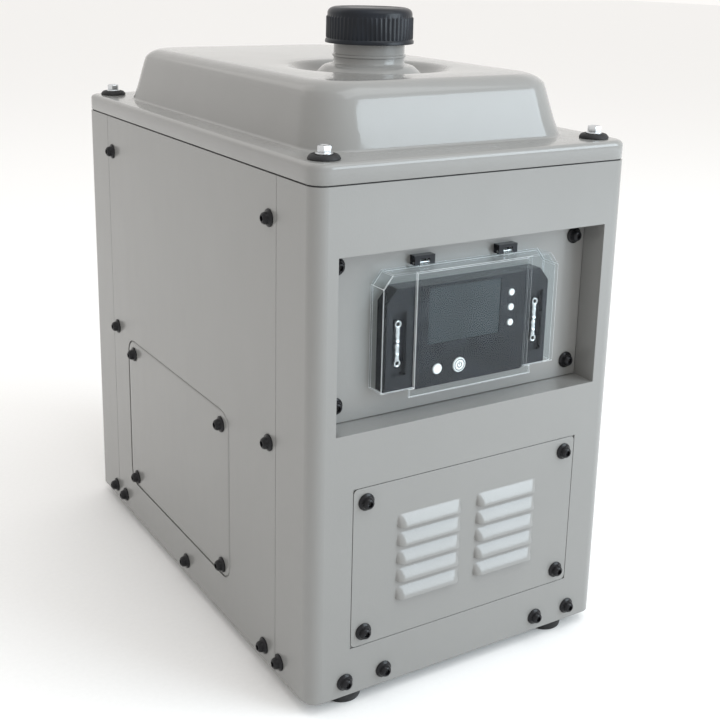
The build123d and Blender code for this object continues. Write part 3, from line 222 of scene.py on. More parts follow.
# Feet: black rubber buffers, moulded with a draft and a rounded rim, each held by a zinc plated
# pan-head screw that sits up inside its pocket.
def rubber(name, colour, wear=0.08, gloss=0.6):
    finish = Finish(name)
    grain = finish.noise(0.0007, 3.0)
    dust = finish.between(finish.noise(0.012, 5.0), 0.45, 0.8)
    dusty = tuple(c + wear for c in colour[:3]) + (1,)
    return finish.close(
        finish.blend(dust, colour, dusty),
        finish.between(grain, 0.3, 0.7, gloss - 0.1, gloss + 0.12),
        finish.relief(grain, 0.00005),
        Specular_IOR_Level=0.35,
    )


def metal(name, colour, gloss, brushed=(1, 1, 1), grain_size=0.0009, stain=0.85):
    """Bare or plated metal: brushed or cast grain in its gloss and relief, and a slightly uneven colour."""
    finish = Finish(name)
    grain = finish.noise(grain_size, 4.0, brushed)
    cloud = finish.noise(0.02, 4.0)
    duller = tuple(c * stain for c in colour[:3]) + (1,)
    return finish.close(
        finish.blend(finish.between(cloud, 0.3, 0.7), duller, colour),
        finish.between(grain, 0.25, 0.75, gloss - 0.08, gloss + 0.1),
        finish.relief(grain, 0.00003, 0.0003),
        Metallic=1.0,
    )


def new_piece(name, points, faces, finish, soft_edge=35.0):
    """A mesh piece in the shared frame, smooth except where its faces meet at more than soft_edge degrees."""
    mesh = bpy.data.meshes.new(name)
    mesh.from_pydata([tuple(p) for p in points], [], faces)
    mesh.validate()
    mesh.update()
    mesh.shade_smooth()
    mesh.set_sharp_from_angle(angle=math.radians(soft_edge))
    mesh.materials.append(finish)
    piece = bpy.data.objects.new(name, mesh)
    bpy.context.scene.collection.objects.link(piece)
    return piece


def joined_rings(rings, first=0):
    """Faces between successive closed rings of equal length, numbered from `first`, with both ends filled."""
    count = len(rings[0])
    faces = []
    for r in range(len(rings) - 1):
        low, high = first + r * count, first + (r + 1) * count
        for i in range(count):
            j = (i + 1) % count
            faces.append((low + i, low + j, high + j, high + i))
    faces.append(tuple(first + i for i in reversed(range(count))))
    last = first + (len(rings) - 1) * count
    faces.append(tuple(last + i for i in range(count)))
    return faces


def turned(name, profile, places, finish, sectors=48):
    """Copies of one turned part. The profile is (radius, height, shape) in mm from one end of the axis to the
    other: shape 0 is round, 1 a hexagon of that half width, and a function of the sector gives any other."""
    points, faces = [], []
    for place in places:
        rings = []
        for radius, height, shape in profile:
            ring = []
            for i in range(sectors):
                angle = 2 * math.pi * i / sectors
                reach = radius
                if callable(shape):
                    reach = radius + shape(i)
                elif shape:
                    reach = radius / math.cos((math.degrees(angle) % 60 - 30) * math.pi / 180)
                across, along = reach * MM * math.cos(angle), reach * MM * math.sin(angle)
                ring.append(place @ Vector((across, along, height * MM)))
            rings.append(ring)
        faces += joined_rings(rings, len(points))
        points += [p for ring in rings for p in ring]
    return new_piece(name, points, faces, finish)


def upright(x, y, z):
    """Place of a part that stands on its end at a point given in mm."""
    return Matrix.Translation(Vector((x, y, z)) * MM)


FOOT_X, FOOT_Y, FOOT_H = 108.0, 222.0, 11.0
black_rubber = rubber("black_rubber", (0.012, 0.012, 0.013, 1), 0.02)
zinc = metal("zinc", (0.66, 0.68, 0.70, 1), 0.28, (1, 1, 6))
foot_places = [upright(sx * FOOT_X, sy * FOOT_Y, 0) for sx in (-1, 1) for sy in (-1, 1)]
feet = turned(
    "rubber_feet_moulded",
    [
        (3.3, 10.9, 0), (3.3, 6.0, 0), (7.0, 6.0, 0), (7.0, 0.6, 0), (7.6, 0.0, 0), (14.3, 0.0, 0),
        (15.2, 0.4, 0), (15.6, 1.3, 0), (16.4, 6.5, 0), (17.0, 10.0, 0), (16.9, 10.9, 0),
    ],
    foot_places,
    black_rubber,
)
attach(feet, "root")
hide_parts("rubber_feet")
dress(zinc, "foot_screws")

# Case: a front and a rear shell, each one sheet bent round two corners, and a flat panel on each side between
# them. All of it is 1.5 mm steel with the same powder coat; the joins are plain butt seams over a lap.
dress(case_paint, "front_shell", "rear_shell", "left_side_panel", "right_side_panel", "control_plate")

# Service hatches: a plate on each side with its edge folded back round, flush in the panel's pressed opening
# and painted with it.
HATCH_FOLD = 2.6
HATCH_CORNER = 15.0
HATCH_STEPS = 6


def rounded_loop(width, depth, radius, corner_points=10):
    """Points of a rounded rectangle about the origin, anticlockwise, as (across, up) in its own units."""
    loop = []
    for quarter, (sx, sy) in enumerate([(1, -1), (1, 1), (-1, 1), (-1, -1)]):
        for k in range(corner_points):
            angle = math.pi / 2 * (quarter - 1 + k / (corner_points - 1))
            loop.append((
                sx * (width / 2 - radius) + radius * math.cos(angle),
                sy * (depth / 2 - radius) + radius * math.sin(angle),
            ))
    return loop


def hatch_plate(name, node):
    low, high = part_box(node)
    low, high = low / MM, high / MM
    side = 1 if high.x > 0 else -1
    face = side * max(abs(low.x), abs(high.x))
    thick = high.x - low.x
    middle_y, middle_z = (low.y + high.y) / 2, (low.z + high.z) / 2
    width, height = high.y - low.y, high.z - low.z
    steps = []
    for k in range(HATCH_STEPS + 1):
        angle = math.pi / 2 * k / HATCH_STEPS
        steps.append((HATCH_FOLD * (1 - math.sin(angle)), thick * (1 - math.cos(angle))))
    rings = []
    for inset, sink in [(HATCH_FOLD + 6, 0)] + steps + [(2.0, thick)]:
        loop = rounded_loop(width - 2 * inset, height - 2 * inset, max(HATCH_CORNER - inset, 4))
        ring = [Vector((face - side * sink, middle_y + a, middle_z + b)) * MM for a, b in loop]
        rings.append(ring if side > 0 else ring[::-1])
    faces = joined_rings(rings)
    return new_piece(name, [p for ring in rings for p in ring], [f[::-1] for f in faces], case_paint, 50)


for side_name in ("left", "right"):
    plate = hatch_plate(f"{side_name}_hatch_plate", f"{side_name}_service_hatch")
    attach(plate, "root")
    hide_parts(f"{side_name}_service_hatch")

# Louvre panels: flat plates front and back, each pressed with two columns of five hoods. A hood is lanced
# along its lower edge and drawn out to a rounded nose, with its ends running back into the plate.
HOOD_X, HOOD_LONG, HOOD_TALL, HOOD_OUT = 39.3, 62.0, 11.0, 5.0
HOOD_LOW = 91.0 - HOOD_TALL / 2
HOOD_PITCH = 16.0
HOOD_ROWS = 5
HOOD_END = 7.0
HOOD_BORDER = 0.6
END_STEPS, MIDDLE_STEPS, RISE_STEPS = 8, 6, 10
PLATE_EDGE = 8.0
PLATE_CORNER = 4.0
SHEET = 1.5


def hood_rise(x, up):
    """How far a hood stands out at x mm from its middle and `up` mm above its lip."""
    end = min(1.0, max(0.0, (HOOD_LONG / 2 - abs(x)) / HOOD_END))
    nose = math.sqrt(1 - (1 - end) ** 2)
    fall = max(0.0, 1 - up / HOOD_TALL)
    return HOOD_OUT * nose * (1 - (1 - fall) ** 1.25)


def louvre_plate(name, node):
    low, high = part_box(node)
    low, high = low / MM, high / MM
    facing = -1 if high.y < 0 else 1
    face = facing * (max(abs(low.y), abs(high.y)) - HOOD_OUT)
    columns = [low.x + PLATE_EDGE]
    for centre in (-HOOD_X, HOOD_X):
        columns.append(centre - HOOD_LONG / 2 - HOOD_BORDER)
        for k in range(END_STEPS + 1):
            columns.append(centre - HOOD_LONG / 2 + HOOD_END * k / END_STEPS)
        for k in range(1, MIDDLE_STEPS):
            columns.append(centre - HOOD_LONG / 2 + HOOD_END + (HOOD_LONG - 2 * HOOD_END) * k / MIDDLE_STEPS)
        for k in range(END_STEPS + 1):
            columns.append(centre + HOOD_LONG / 2 - HOOD_END * (1 - k / END_STEPS))
        columns.append(centre + HOOD_LONG / 2 + HOOD_BORDER)
    columns.append(high.x - PLATE_EDGE)
    levels = [(low.z + PLATE_EDGE, None)]
    for row in range(HOOD_ROWS):
        lip = HOOD_LOW + row * HOOD_PITCH
        levels += [(lip - HOOD_BORDER, None), (lip, None)]
        for k in range(RISE_STEPS + 1):
            levels.append((lip + HOOD_TALL * k / RISE_STEPS, k / RISE_STEPS * HOOD_TALL))
        levels.append((lip + HOOD_TALL + HOOD_BORDER, None))
    levels.append((high.z - PLATE_EDGE, None))
    points, faces = [], []
    wide = len(columns)
    for z, up in levels:
        for x in columns:
            rise = 0.0
            if up is not None:
                centre = HOOD_X if x > 0 else -HOOD_X
                rise = hood_rise(x - centre, up)
            points.append(Vector((x, face + facing * rise, z)) * MM)
    for r in range(len(levels) - 1):
        mouth = levels[r][1] is None and levels[r + 1][1] == 0.0
        here, above = r * wide, (r + 1) * wide
        if not mouth:
            faces += [(here + c, here + c + 1, above + c + 1, above + c) for c in range(wide - 1)]
    # the border between the pressed field and the plate's rounded outline
    last = len(levels) - 1
    inner = list(range(wide)) + [r * wide + wide - 1 for r in range(1, len(levels))]
    inner += [last * wide + c for c in reversed(range(wide - 1))]
    inner += [r * wide for r in reversed(range(1, last))]
    loop = rounded_loop(high.x - low.x, high.z - low.z, PLATE_CORNER, 7)
    outer = len(points)
    middle_z = (low.z + high.z) / 2
    points += [Vector((a, face, middle_z + b)) * MM for a, b in loop]
    faces += rim_faces([points[i] for i in inner], inner, [points[outer + i] for i in range(len(loop))], outer)
    if facing > 0:
        faces = [f[::-1] for f in faces]
    plate = new_piece(name, points, faces, case_paint, 40)
    # free edges are cut square; away from the hoods the two levels at a lip weld into one line
    uses = Counter(key for face in plate.data.polygons for key in face.edge_keys)
    for edge in plate.data.edges:
        edge.use_edge_sharp = edge.use_edge_sharp or uses[edge.key] == 1
    weld = plate.modifiers.new("one_sheet", "WELD")
    weld.merge_threshold = 0.00001
    thickness = plate.modifiers.new("sheet", "SOLIDIFY")
    thickness.thickness = SHEET * MM * 0.8
    thickness.offset = -1.0
    return plate


def rim_faces(inner_points, inner, outer_points, outer_first):
    """Triangles between an inner and an outer loop in one plane, walked by angle about their middle."""
    middle = sum(inner_points, Vector()) / len(inner_points)

    def turn(p):
        return math.atan2(p.z - middle.z, p.x - middle.x)

    a = sorted(range(len(inner)), key=lambda i: turn(inner_points[i]))
    b = sorted(range(len(outer_points)), key=lambda i: turn(outer_points[i]))
    faces, i, j = [], 0, 0
    while i < len(a) or j < len(b):
        here_a, next_a = a[i % len(a)], a[(i + 1) % len(a)]
        here_b, next_b = b[j % len(b)], b[(j + 1) % len(b)]
        angle_a = turn(inner_points[next_a]) + (2 * math.pi if i + 1 >= len(a) else 0)
        angle_b = turn(outer_points[next_b]) + (2 * math.pi if j + 1 >= len(b) else 0)
        if j >= len(b) or (i < len(a) and angle_a <= angle_b):
            faces.append((inner[here_a], outer_first + here_b, inner[next_a]))
            i += 1
        else:
            faces.append((inner[here_a], outer_first + here_b, outer_first + next_b))
            j += 1
    return faces


for end_name in ("front", "rear"):
    plate = louvre_plate(f"{end_name}_louvre_plate", f"{end_name}_louvre_panel")
    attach(plate, "root")
    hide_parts(f"{end_name}_louvre_panel")

# Case screws: black M6 flange screws with a domed head and a hexagon socket, one at every fixing of the case.
HALF_W, HALF_D = 150.0, 242.0
PLATE_Y = -218.0
LOW_SCREW_Z = 24.0
END_LOW_X = (80.0, 117.0)
LOUVRE_SCREW_X, LOUVRE_SCREW_Z = 100.5, (65.0, 179.0)
CONTROL_SCREW_X, CONTROL_SCREW_Z = 117.0, (253.0, 365.0)
SIDE_LOW_Y = (-192.0, -164.0, 0.0, 164.0, 192.0)
PANEL_SCREW_Y, PANEL_SCREW_Z = (-172.0, 172.0), (212.5, 396.5)
HATCH_SCREW_Y, HATCH_SCREW_Z = (-81.0, 127.0), (59.5, 195.0)


def black_oxide(name):
    finish = Finish(name)
    grain = finish.noise(0.0006, 3.0)
    return finish.close(
        finish.blend(finish.noise(0.003), (0.005, 0.005, 0.006, 1), (0.012, 0.012, 0.014, 1)),
        finish.between(grain, 0.3, 0.7, 0.2, 0.36),
        finish.relief(grain, 0.00002),
        Specular_IOR_Level=0.15,
        Coat_Weight=0.12,
        Coat_Roughness=0.1,
    )


def outward(x, y, z, normal):
    """Place of a part that stands out from a wall at a point in mm."""
    turn = Vector(normal).to_track_quat("Z", "Y").to_matrix().to_4x4()
    return Matrix.Translation(Vector((x, y, z)) * MM) @ turn


screw_black = black_oxide("screw_black")
screw_places = []
for end in (-1, 1):
    spots = [(sx * x, LOW_SCREW_Z) for sx in (-1, 1) for x in END_LOW_X]
    spots += [(sx * LOUVRE_SCREW_X, z) for sx in (-1, 1) for z in LOUVRE_SCREW_Z]
    screw_places += [outward(x, end * HALF_D, z, (0, end, 0)) for x, z in spots]
for sx in (-1, 1):
    screw_places += [outward(sx * CONTROL_SCREW_X, PLATE_Y, z, (0, -1, 0)) for z in CONTROL_SCREW_Z]
for side in (-1, 1):
    spots = [(y, LOW_SCREW_Z) for y in SIDE_LOW_Y]
    spots += [(y, z) for y in PANEL_SCREW_Y for z in PANEL_SCREW_Z]
    spots += [(y, z) for y in HATCH_SCREW_Y for z in HATCH_SCREW_Z]
    screw_places += [outward(side * HALF_W, y, z, (side, 0, 0)) for y, z in spots]
screws = turned(
    "case_screws_domed",
    [
        (2.6, -9.0, 0), (3.0, -8.2, 0), (3.0, 0.0, 0), (6.9, 0.0, 0), (7.2, 0.3, 0), (7.15, 0.9, 0),
        (6.6, 1.35, 0), (5.6, 1.7, 0), (5.1, 2.3, 0), (5.0, 3.4, 0), (4.75, 4.6, 0), (4.15, 5.7, 0),
        (3.3, 6.35, 0), (2.5, 6.6, 0), (2.2, 6.55, 1), (2.1, 6.2, 1), (2.1, 4.0, 1), (1.0, 3.4, 0),
    ],
    screw_places,
    screw_black,
    36,
)
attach(screws, "root")
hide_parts("case_screws")

# Tank frame and gasket: a rolled angle ring in the case's paint and a strip of black closed-cell foam on its
# lip, squeezed by the tank's flange.
foam = rubber("foam", (0.02, 0.02, 0.021, 1), 0.02, 0.8)
dress(case_paint, "tank_frame")
dress(foam, "tank_gasket")

# Fuel tank: one blow-moulded shell that is also the lid. A thick flange closes the case, a soft-edged dome
# stands on it, a belly hangs below, and the neck rises from a dished well. The plastic is glossy, light grey
# and a little milky.
NECK_Y = -70.0
TANK_W, TANK_D = 300.0, 484.0
FLANGE_LOW, FLANGE_TOP = 432.0, 447.5
DOME_TOP = 498.0
BELLY_LOW = 385.0
NECK_TOP = 543.0
WALL = 3.0
RING_CORNER_POINTS = 22
RING_SIDE_POINTS = 14


def tank_plastic(name, colour, milky):
    finish = Finish(name)
    ripple = finish.noise(0.045, 1.5)
    grain = finish.noise(0.0011, 2.0)
    cloud = finish.noise(0.09, 3.0)
    bright = tuple(min(1, c * 1.05) for c in colour[:3]) + (1,)
    return finish.close(
        finish.blend(finish.between(cloud, 0.3, 0.7), colour, bright),
        finish.between(grain, 0.3, 0.7, 0.2, 0.27),
        finish.relief(ripple * 0.9 + grain * 0.015, 0.0011),
        Specular_IOR_Level=0.2,
        Coat_Weight=0.5,
        Coat_Roughness=0.06,
        Subsurface_Weight=milky,
        Subsurface_Radius=(0.006, 0.006, 0.005),
        Subsurface_Scale=0.6,
    )


def box_angles():
    """Directions about the neck's axis that all the tank's rings share, closest at the dome's corners."""
    dome = [(x, y - NECK_Y) for x, y in rounded_loop(238.0, 390.0, 36.0, RING_CORNER_POINTS)]
    angles = []
    for (x0, y0), (x1, y1) in zip(dome, dome[1:] + dome[:1]):
        angles.append(math.atan2(y0, x0))
        if math.hypot(x1 - x0, y1 - y0) > 20:
            for k in range(1, RING_SIDE_POINTS):
                t = k / RING_SIDE_POINTS
                angles.append(math.atan2(y0 + (y1 - y0) * t, x0 + (x1 - x0) * t))
    return np.unwrap(np.array(angles))


TURNS = box_angles()


def ray_ring(width, depth, radius):
    """Reach from the neck's axis to a rounded rectangle about the tank's middle, in each shared direction."""
    near, far = np.zeros_like(TURNS), np.full_like(TURNS, 800.0)
    for _ in range(40):
        middle = (near + far) / 2
        x = np.abs(middle * np.cos(TURNS)) - (width / 2 - radius)
        y = np.abs(middle * np.sin(TURNS) + NECK_Y) - (depth / 2 - radius)
        outside = np.hypot(np.maximum(x, 0), np.maximum(y, 0)) + np.minimum(np.maximum(x, y), 0) > radius
        far = np.where(outside, middle, far)
        near = np.where(outside, near, middle)
    return near


def box_ring(width, depth, radius, z):
    return ray_ring(width, depth, radius), np.full_like(TURNS, z)


def round_ring(radius, z):
    return np.full_like(TURNS, radius), np.full_like(TURNS, z)


def blend_ring(a, b, t, lift=0.0):
    """Ring a share t of the way from ring a to ring b, lifted by `lift` mm."""
    return a[0] + (b[0] - a[0]) * t, a[1] + (b[1] - a[1]) * t + lift


def arc(steps, start, end):
    return [math.radians(start + (end - start) * k / steps) for k in range(steps + 1)]


DOME_FOOT = (250.0, 410.0, 38.0)
DOME_CROWN = (228.0, 374.0, 31.0)
FOOT_FILLET = 3.0
CROWN_ROUND = 13.0
WELL_R, WELL_FLOOR_R, WELL_DEEP = 74.0, 53.0, 9.5
SHOULDER_R, NECK_R, BORE_R = 36.0, 31.0, 25.5
BELLY_W, BELLY_D, BELLY_CORNER = 222.0, 392.0, 30.0
FLANGE_CORNER = 13.0
FLANGE_ROUND = 4.0
SPIGOT_X, SPIGOT_Y = -70.0, 60.0
# belly, from its floor up
profile = [box_ring(150, 300, 20, BELLY_LOW)]
for a in arc(4, 0, 90):
    out = 12 * (1 - math.sin(a))
    profile.append(box_ring(BELLY_W - out, BELLY_D - out, BELLY_CORNER, BELLY_LOW + 6 * (1 - math.cos(a))))
profile.append(box_ring(BELLY_W, BELLY_D, BELLY_CORNER, FLANGE_LOW))
# flange, rounded over its top edge
profile.append(box_ring(TANK_W - 1, TANK_D - 1, 12.5, FLANGE_LOW))
profile.append(box_ring(TANK_W, TANK_D, FLANGE_CORNER, FLANGE_LOW + 0.7))
profile.append(box_ring(TANK_W, TANK_D, FLANGE_CORNER, FLANGE_TOP - FLANGE_ROUND))
for a in arc(6, 0, 90):
    inset = 2 * FLANGE_ROUND * (1 - math.cos(a))
    z = FLANGE_TOP - FLANGE_ROUND * (1 - math.sin(a))
    profile.append(box_ring(TANK_W - inset, TANK_D - inset, FLANGE_CORNER, z))
profile.append(box_ring(268, 438, 30, FLANGE_TOP))
# dome, from the fillet at its foot to its rounded shoulder
for a in arc(5, 0, 75):
    out = 2 * FOOT_FILLET * (1 - math.sin(a))
    rise = FOOT_FILLET * (1 - math.cos(a))
    profile.append(box_ring(DOME_FOOT[0] + out, DOME_FOOT[1] + out, DOME_FOOT[2] + out / 2, FLANGE_TOP + rise))
lean_w = (DOME_FOOT[0] - DOME_CROWN[0]) / (DOME_TOP - FLANGE_TOP)
lean_d = (DOME_FOOT[1] - DOME_CROWN[1]) / (DOME_TOP - FLANGE_TOP)
for k in range(1, 5):
    z = FLANGE_TOP + 4 + (DOME_TOP - CROWN_ROUND - FLANGE_TOP - 4) * k / 4
    profile.append(box_ring(
        DOME_FOOT[0] - lean_w * (z - FLANGE_TOP), DOME_FOOT[1] - lean_d * (z - FLANGE_TOP), 38 - 5 * k / 4, z
    ))
edge_w = DOME_FOOT[0] - lean_w * (DOME_TOP - CROWN_ROUND - FLANGE_TOP)
edge_d = DOME_FOOT[1] - lean_d * (DOME_TOP - CROWN_ROUND - FLANGE_TOP)
for a in arc(9, 12, 90)[1:]:
    inset = 2 * CROWN_ROUND * (1 - math.cos(a))
    sway = 4.0 * math.sin(a)
    profile.append(box_ring(
        edge_w - inset - sway, edge_d - inset - 1.6 * sway, 31, DOME_TOP - CROWN_ROUND * (1 - math.sin(a))
    ))
# crown, dished well and the shoulder that carries the neck
crown = profile[-1]
well = round_ring(WELL_R, DOME_TOP)
for k in range(1, 10):
    t = k / 10
    profile.append(blend_ring(crown, well, t, 0.5 * math.sin(math.pi * t)))
for k in range(0, 9):
    t = k / 8
    fall = 0.5 - 0.5 * math.cos(math.pi * t)
    profile.append(round_ring(WELL_R + (WELL_FLOOR_R - WELL_R) * t, DOME_TOP - WELL_DEEP * fall))
for k in range(1, 7):
    t = k / 6
    rise = 0.5 - 0.5 * math.cos(math.pi * t)
    radius = WELL_FLOOR_R + (SHOULDER_R - WELL_FLOOR_R) * t
    profile.append(round_ring(radius, DOME_TOP - WELL_DEEP + (WELL_DEEP + 1.5) * rise))
for a in arc(4, 0, 90)[1:]:
    radius = SHOULDER_R - (SHOULDER_R - NECK_R) * math.sin(a)
    profile.append(round_ring(radius, DOME_TOP + 1.5 + 2.5 * (1 - math.cos(a))))
# neck with its bead, the open bore and the inside of the shell
for z in (504.0, 506.0, 506.6, 508.4, 509.0, NECK_TOP - 1.0):
    profile.append(round_ring(NECK_R + (1.2 if 506.5 < z < 508.5 else 0.0), z))
for radius, z in ((NECK_R - 0.8, NECK_TOP), (BORE_R + 0.8, NECK_TOP), (BORE_R, NECK_TOP - 1), (BORE_R, 486.0)):
    profile.append(round_ring(radius, z))
inside_top = DOME_TOP - WELL_DEEP - WALL
profile.append(round_ring(60.0, inside_top))
profile.append(box_ring(200, 346, 26, DOME_TOP - WALL - 6))
profile.append(box_ring(BELLY_W - 6 - 2 * WALL, BELLY_D - 6 - 2 * WALL, 28, FLANGE_TOP))
profile.append(box_ring(BELLY_W - 2 * WALL, BELLY_D - 2 * WALL, 27, FLANGE_LOW))
profile.append(box_ring(BELLY_W - 2 * WALL, BELLY_D - 2 * WALL, 27, BELLY_LOW + WALL))
tank_rings = [
    [Vector((r * math.cos(a), NECK_Y + r * math.sin(a), z)) * MM for r, z, a in zip(*ring, TURNS)]
    for ring in profile
]
tank_grey = tank_plastic("tank_plastic", (0.225, 0.225, 0.219, 1), 0.08)
tank_points = [p for ring in tank_rings for p in ring]
tank = new_piece("fuel_tank_shell", tank_points, joined_rings(tank_rings), tank_grey, 38)
spigot = turned(
    "tank_spigot",
    [(2.5, 1, 0), (2.5, -13, 0), (4.4, -13, 0), (5, -12, 0), (5, -8, 0), (4.4, -7, 0), (4.4, 1, 0)],
    [upright(SPIGOT_X, SPIGOT_Y, BELLY_LOW)],
    tank_grey,
    24,
)
for piece in (tank, spigot):
    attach(piece, "root")
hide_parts("fuel_tank")

# Tank bolts: four zinc plated M6 hexagon bolts, each on a cupped black rubber washer, with a nut under the
# frame.
BOLT_X, BOLT_Y = 130.0, 220.0
bolt_places = [upright(sx * BOLT_X, sy * BOLT_Y, FLANGE_TOP) for sx in (-1, 1) for sy in (-1, 1)]
washers = turned(
    "tank_washers_cupped",
    [
        (3.4, 0.1, 0), (11.8, 0.1, 0), (12.3, 0.5, 0), (12.2, 1.4, 0), (11.4, 2.6, 0), (10.4, 3.6, 0),
        (9.2, 4.0, 0), (8.2, 3.7, 0), (7.4, 3.5, 0), (3.4, 3.5, 0),
    ],
    bolt_places,
    black_rubber,
)
bolts = turned(
    "tank_bolts_zinc",
    [
        (2.6, -26, 0), (3.0, -25, 0), (3.0, 3.6, 0), (6.3, 3.6, 0), (6.6, 3.9, 0), (6.6, 4.6, 0),
        (6.1, 5.0, 0), (4.9, 5.2, 1), (5.0, 5.5, 1), (5.0, 9.4, 1), (4.7, 10.1, 1), (4.3, 10.4, 0),
        (3.3, 10.4, 0), (2.6, 9.9, 0), (0.6, 9.8, 0),
    ],
    bolt_places,
    zinc,
    36,
)
nuts = turned(
    "tank_nuts_zinc",
    [
        (3.1, -24.0, 1), (4.6, -24.0, 1), (5.0, -23.4, 1), (5.0, -19.6, 1), (4.6, -19.1, 1), (3.1, -19.1, 1),
    ],
    bolt_places,
    zinc,
    36,
)
for piece, slot_name in ((washers, "black_rubber"), (bolts, "zinc"), (nuts, "zinc")):
    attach(piece, "root")
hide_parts("tank_bolt_washers")
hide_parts("tank_bolts")

# Filler cap: black moulded polypropylene with sixty fine grip ribs, a plain band above them, a chamfered crown
# and a flared rim below. It turns and climbs on the neck, and carries a flat rubber seal.
CAP_LOW, CAP_TOP, CAP_R = 518.0, 548.5, 37.4
CAP_RIBS = 60
RIB_SECTORS = 4


def moulded_black(name, colour, gloss, grain_size=0.0005):
    finish = Finish(name)
    grain = finish.noise(grain_size, 2.0)
    smear = finish.between(finish.noise(0.02, 5.0), 0.4, 0.75)
    lighter = tuple(c * 1.9 for c in colour[:3]) + (1,)
    return finish.close(
        finish.blend(smear, colour, lighter),
        finish.between(smear * 0.5 + grain * 0.5, 0.3, 0.7, gloss - 0.05, gloss + 0.12),
        finish.relief(grain, 0.00002),
        Specular_IOR_Level=0.22,
    )


def rib(i):
    """Height of the grip ribs at one sector of the cap."""
    return (0.7, 0.25, -0.15, 0.25)[i % RIB_SECTORS]


black_plastic = moulded_black("black_plastic", (0.007, 0.009, 0.013, 1), 0.36)
cap = turned(
    "filler_cap_ribbed",
    [
        (24.0, NECK_TOP + 2.2, 0), (NECK_R + 1.6, NECK_TOP + 2.2, 0), (NECK_R + 1.6, CAP_LOW + 0.4, 0),
        (NECK_R + 2.0, CAP_LOW, 0), (CAP_R + 1.0, CAP_LOW, 0), (CAP_R + 1.3, CAP_LOW + 0.4, 0),
        (CAP_R + 1.3, CAP_LOW + 1.8, 0), (CAP_R + 0.7, CAP_LOW + 3.2, 0), (CAP_R + 0.1, CAP_LOW + 3.9, 0),
        (CAP_R - 0.1, CAP_LOW + 4.4, rib), (CAP_R - 0.2, CAP_TOP - 8.6, rib), (CAP_R - 0.5, CAP_TOP - 7.6, 0),
        (CAP_R - 0.5, CAP_TOP - 5.0, 0), (CAP_R - 1.0, CAP_TOP - 3.4, 0), (CAP_R - 2.2, CAP_TOP - 1.9, 0),
        (CAP_R - 4.4, CAP_TOP - 0.7, 0), (CAP_R - 6.6, CAP_TOP - 0.1, 0), (CAP_R - 9.0, CAP_TOP, 0),
        (CAP_R - 10.0, CAP_TOP - 0.5, 0), (CAP_R - 11.4, CAP_TOP - 0.6, 0), (4.0, CAP_TOP - 0.6, 0),
    ],
    [upright(0, NECK_Y, 0)],
    black_plastic,
    CAP_RIBS * RIB_SECTORS,
)
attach(cap, "cap")
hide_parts("filler_cap")
dress(black_rubber, "cap_gasket")

# Controller: a gloss black block with a smooth front over its middle, a dark display, three small buttons in a
# column and two below, and its board and rubber keypad behind. The black clips of the cover match it.
gloss_black = moulded_black("gloss_black", (0.007, 0.008, 0.011, 1), 0.16, 0.0012)
display_finish = Finish("display")
display_smear = display_finish.noise(0.03, 4.0)
display_glass = display_finish.close(
    display_finish.blend(display_smear, (0.010, 0.014, 0.018, 1), (0.022, 0.030, 0.036, 1)),
    display_finish.between(display_smear, 0.3, 0.7, 0.05, 0.12),
    Specular_IOR_Level=0.25,
    Coat_Weight=0.2,
    Coat_Roughness=0.04,
)
button_finish = Finish("button_white")
button_grain = button_finish.noise(0.0006)
button_white = button_finish.close(
    button_finish.blend(button_grain, (0.80, 0.81, 0.82, 1), (0.88, 0.89, 0.89, 1)),
    button_finish.between(button_grain, 0.3, 0.7, 0.3, 0.42),
    button_finish.relief(button_grain, 0.00002),
)


def printed_button(name, node):
    """The power button's finish: a grey ring and the usual broken circle and bar, printed on white."""
    finish = Finish(name)
    low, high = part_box(node)
    middle = (low + high) / 2
    radius = (high.z - low.z) / 2
    about = finish.add("VectorMath", {"operation": "SUBTRACT"}, {0: finish.place, 1: tuple(middle)})
    across = finish.add("SeparateXYZ", None, {0: about}, out="X")
    up = finish.add("SeparateXYZ", None, {0: about}, out="Z")
    reach = (across * across + up * up) ** 0.5
    side = (across * across) ** 0.5
    ring = (reach > radius * 0.60) * (reach < radius * 0.72)
    gap = (side < radius * 0.13) * (up > 0.0)
    circle = (reach > radius * 0.24) * (reach < radius * 0.36) * (1 - gap)
    bar = (side < radius * 0.055) * (up > 0.0) * (up < radius * 0.42)
    ink = finish.between(ring + circle + bar, 0.0, 1.0)
    grain = finish.noise(0.0006)
    return finish.close(
        finish.blend(ink, (0.82, 0.83, 0.83, 1), (0.10, 0.10, 0.11, 1)),
        finish.between(grain, 0.3, 0.7, 0.3, 0.42),
        finish.relief(grain, 0.00002),
    )


board_finish = Finish("board_green")
tracks = board_finish.add("TexBrick", None, {"Vector": board_finish.place, "Scale": 260.0}, out="Fac")
board_green = board_finish.close(
    board_finish.blend(tracks, (0.012, 0.075, 0.034, 1), (0.03, 0.16, 0.07, 1)),
    0.4,
    board_finish.relief(tracks, 0.00004),
)
BUTTONS = ("page_button", "up_button", "down_button", "select_button", "power_button")
dress(gloss_black, "controller_housing", "controller_face", "hinge_clips")
dress(display_glass, "display_window")
dress(board_green, "circuit_board")
dress(black_rubber, "keypad_mat")
dress(button_white, *BUTTONS)
dress(printed_button("power_button_print", "power_button"), "power_button")

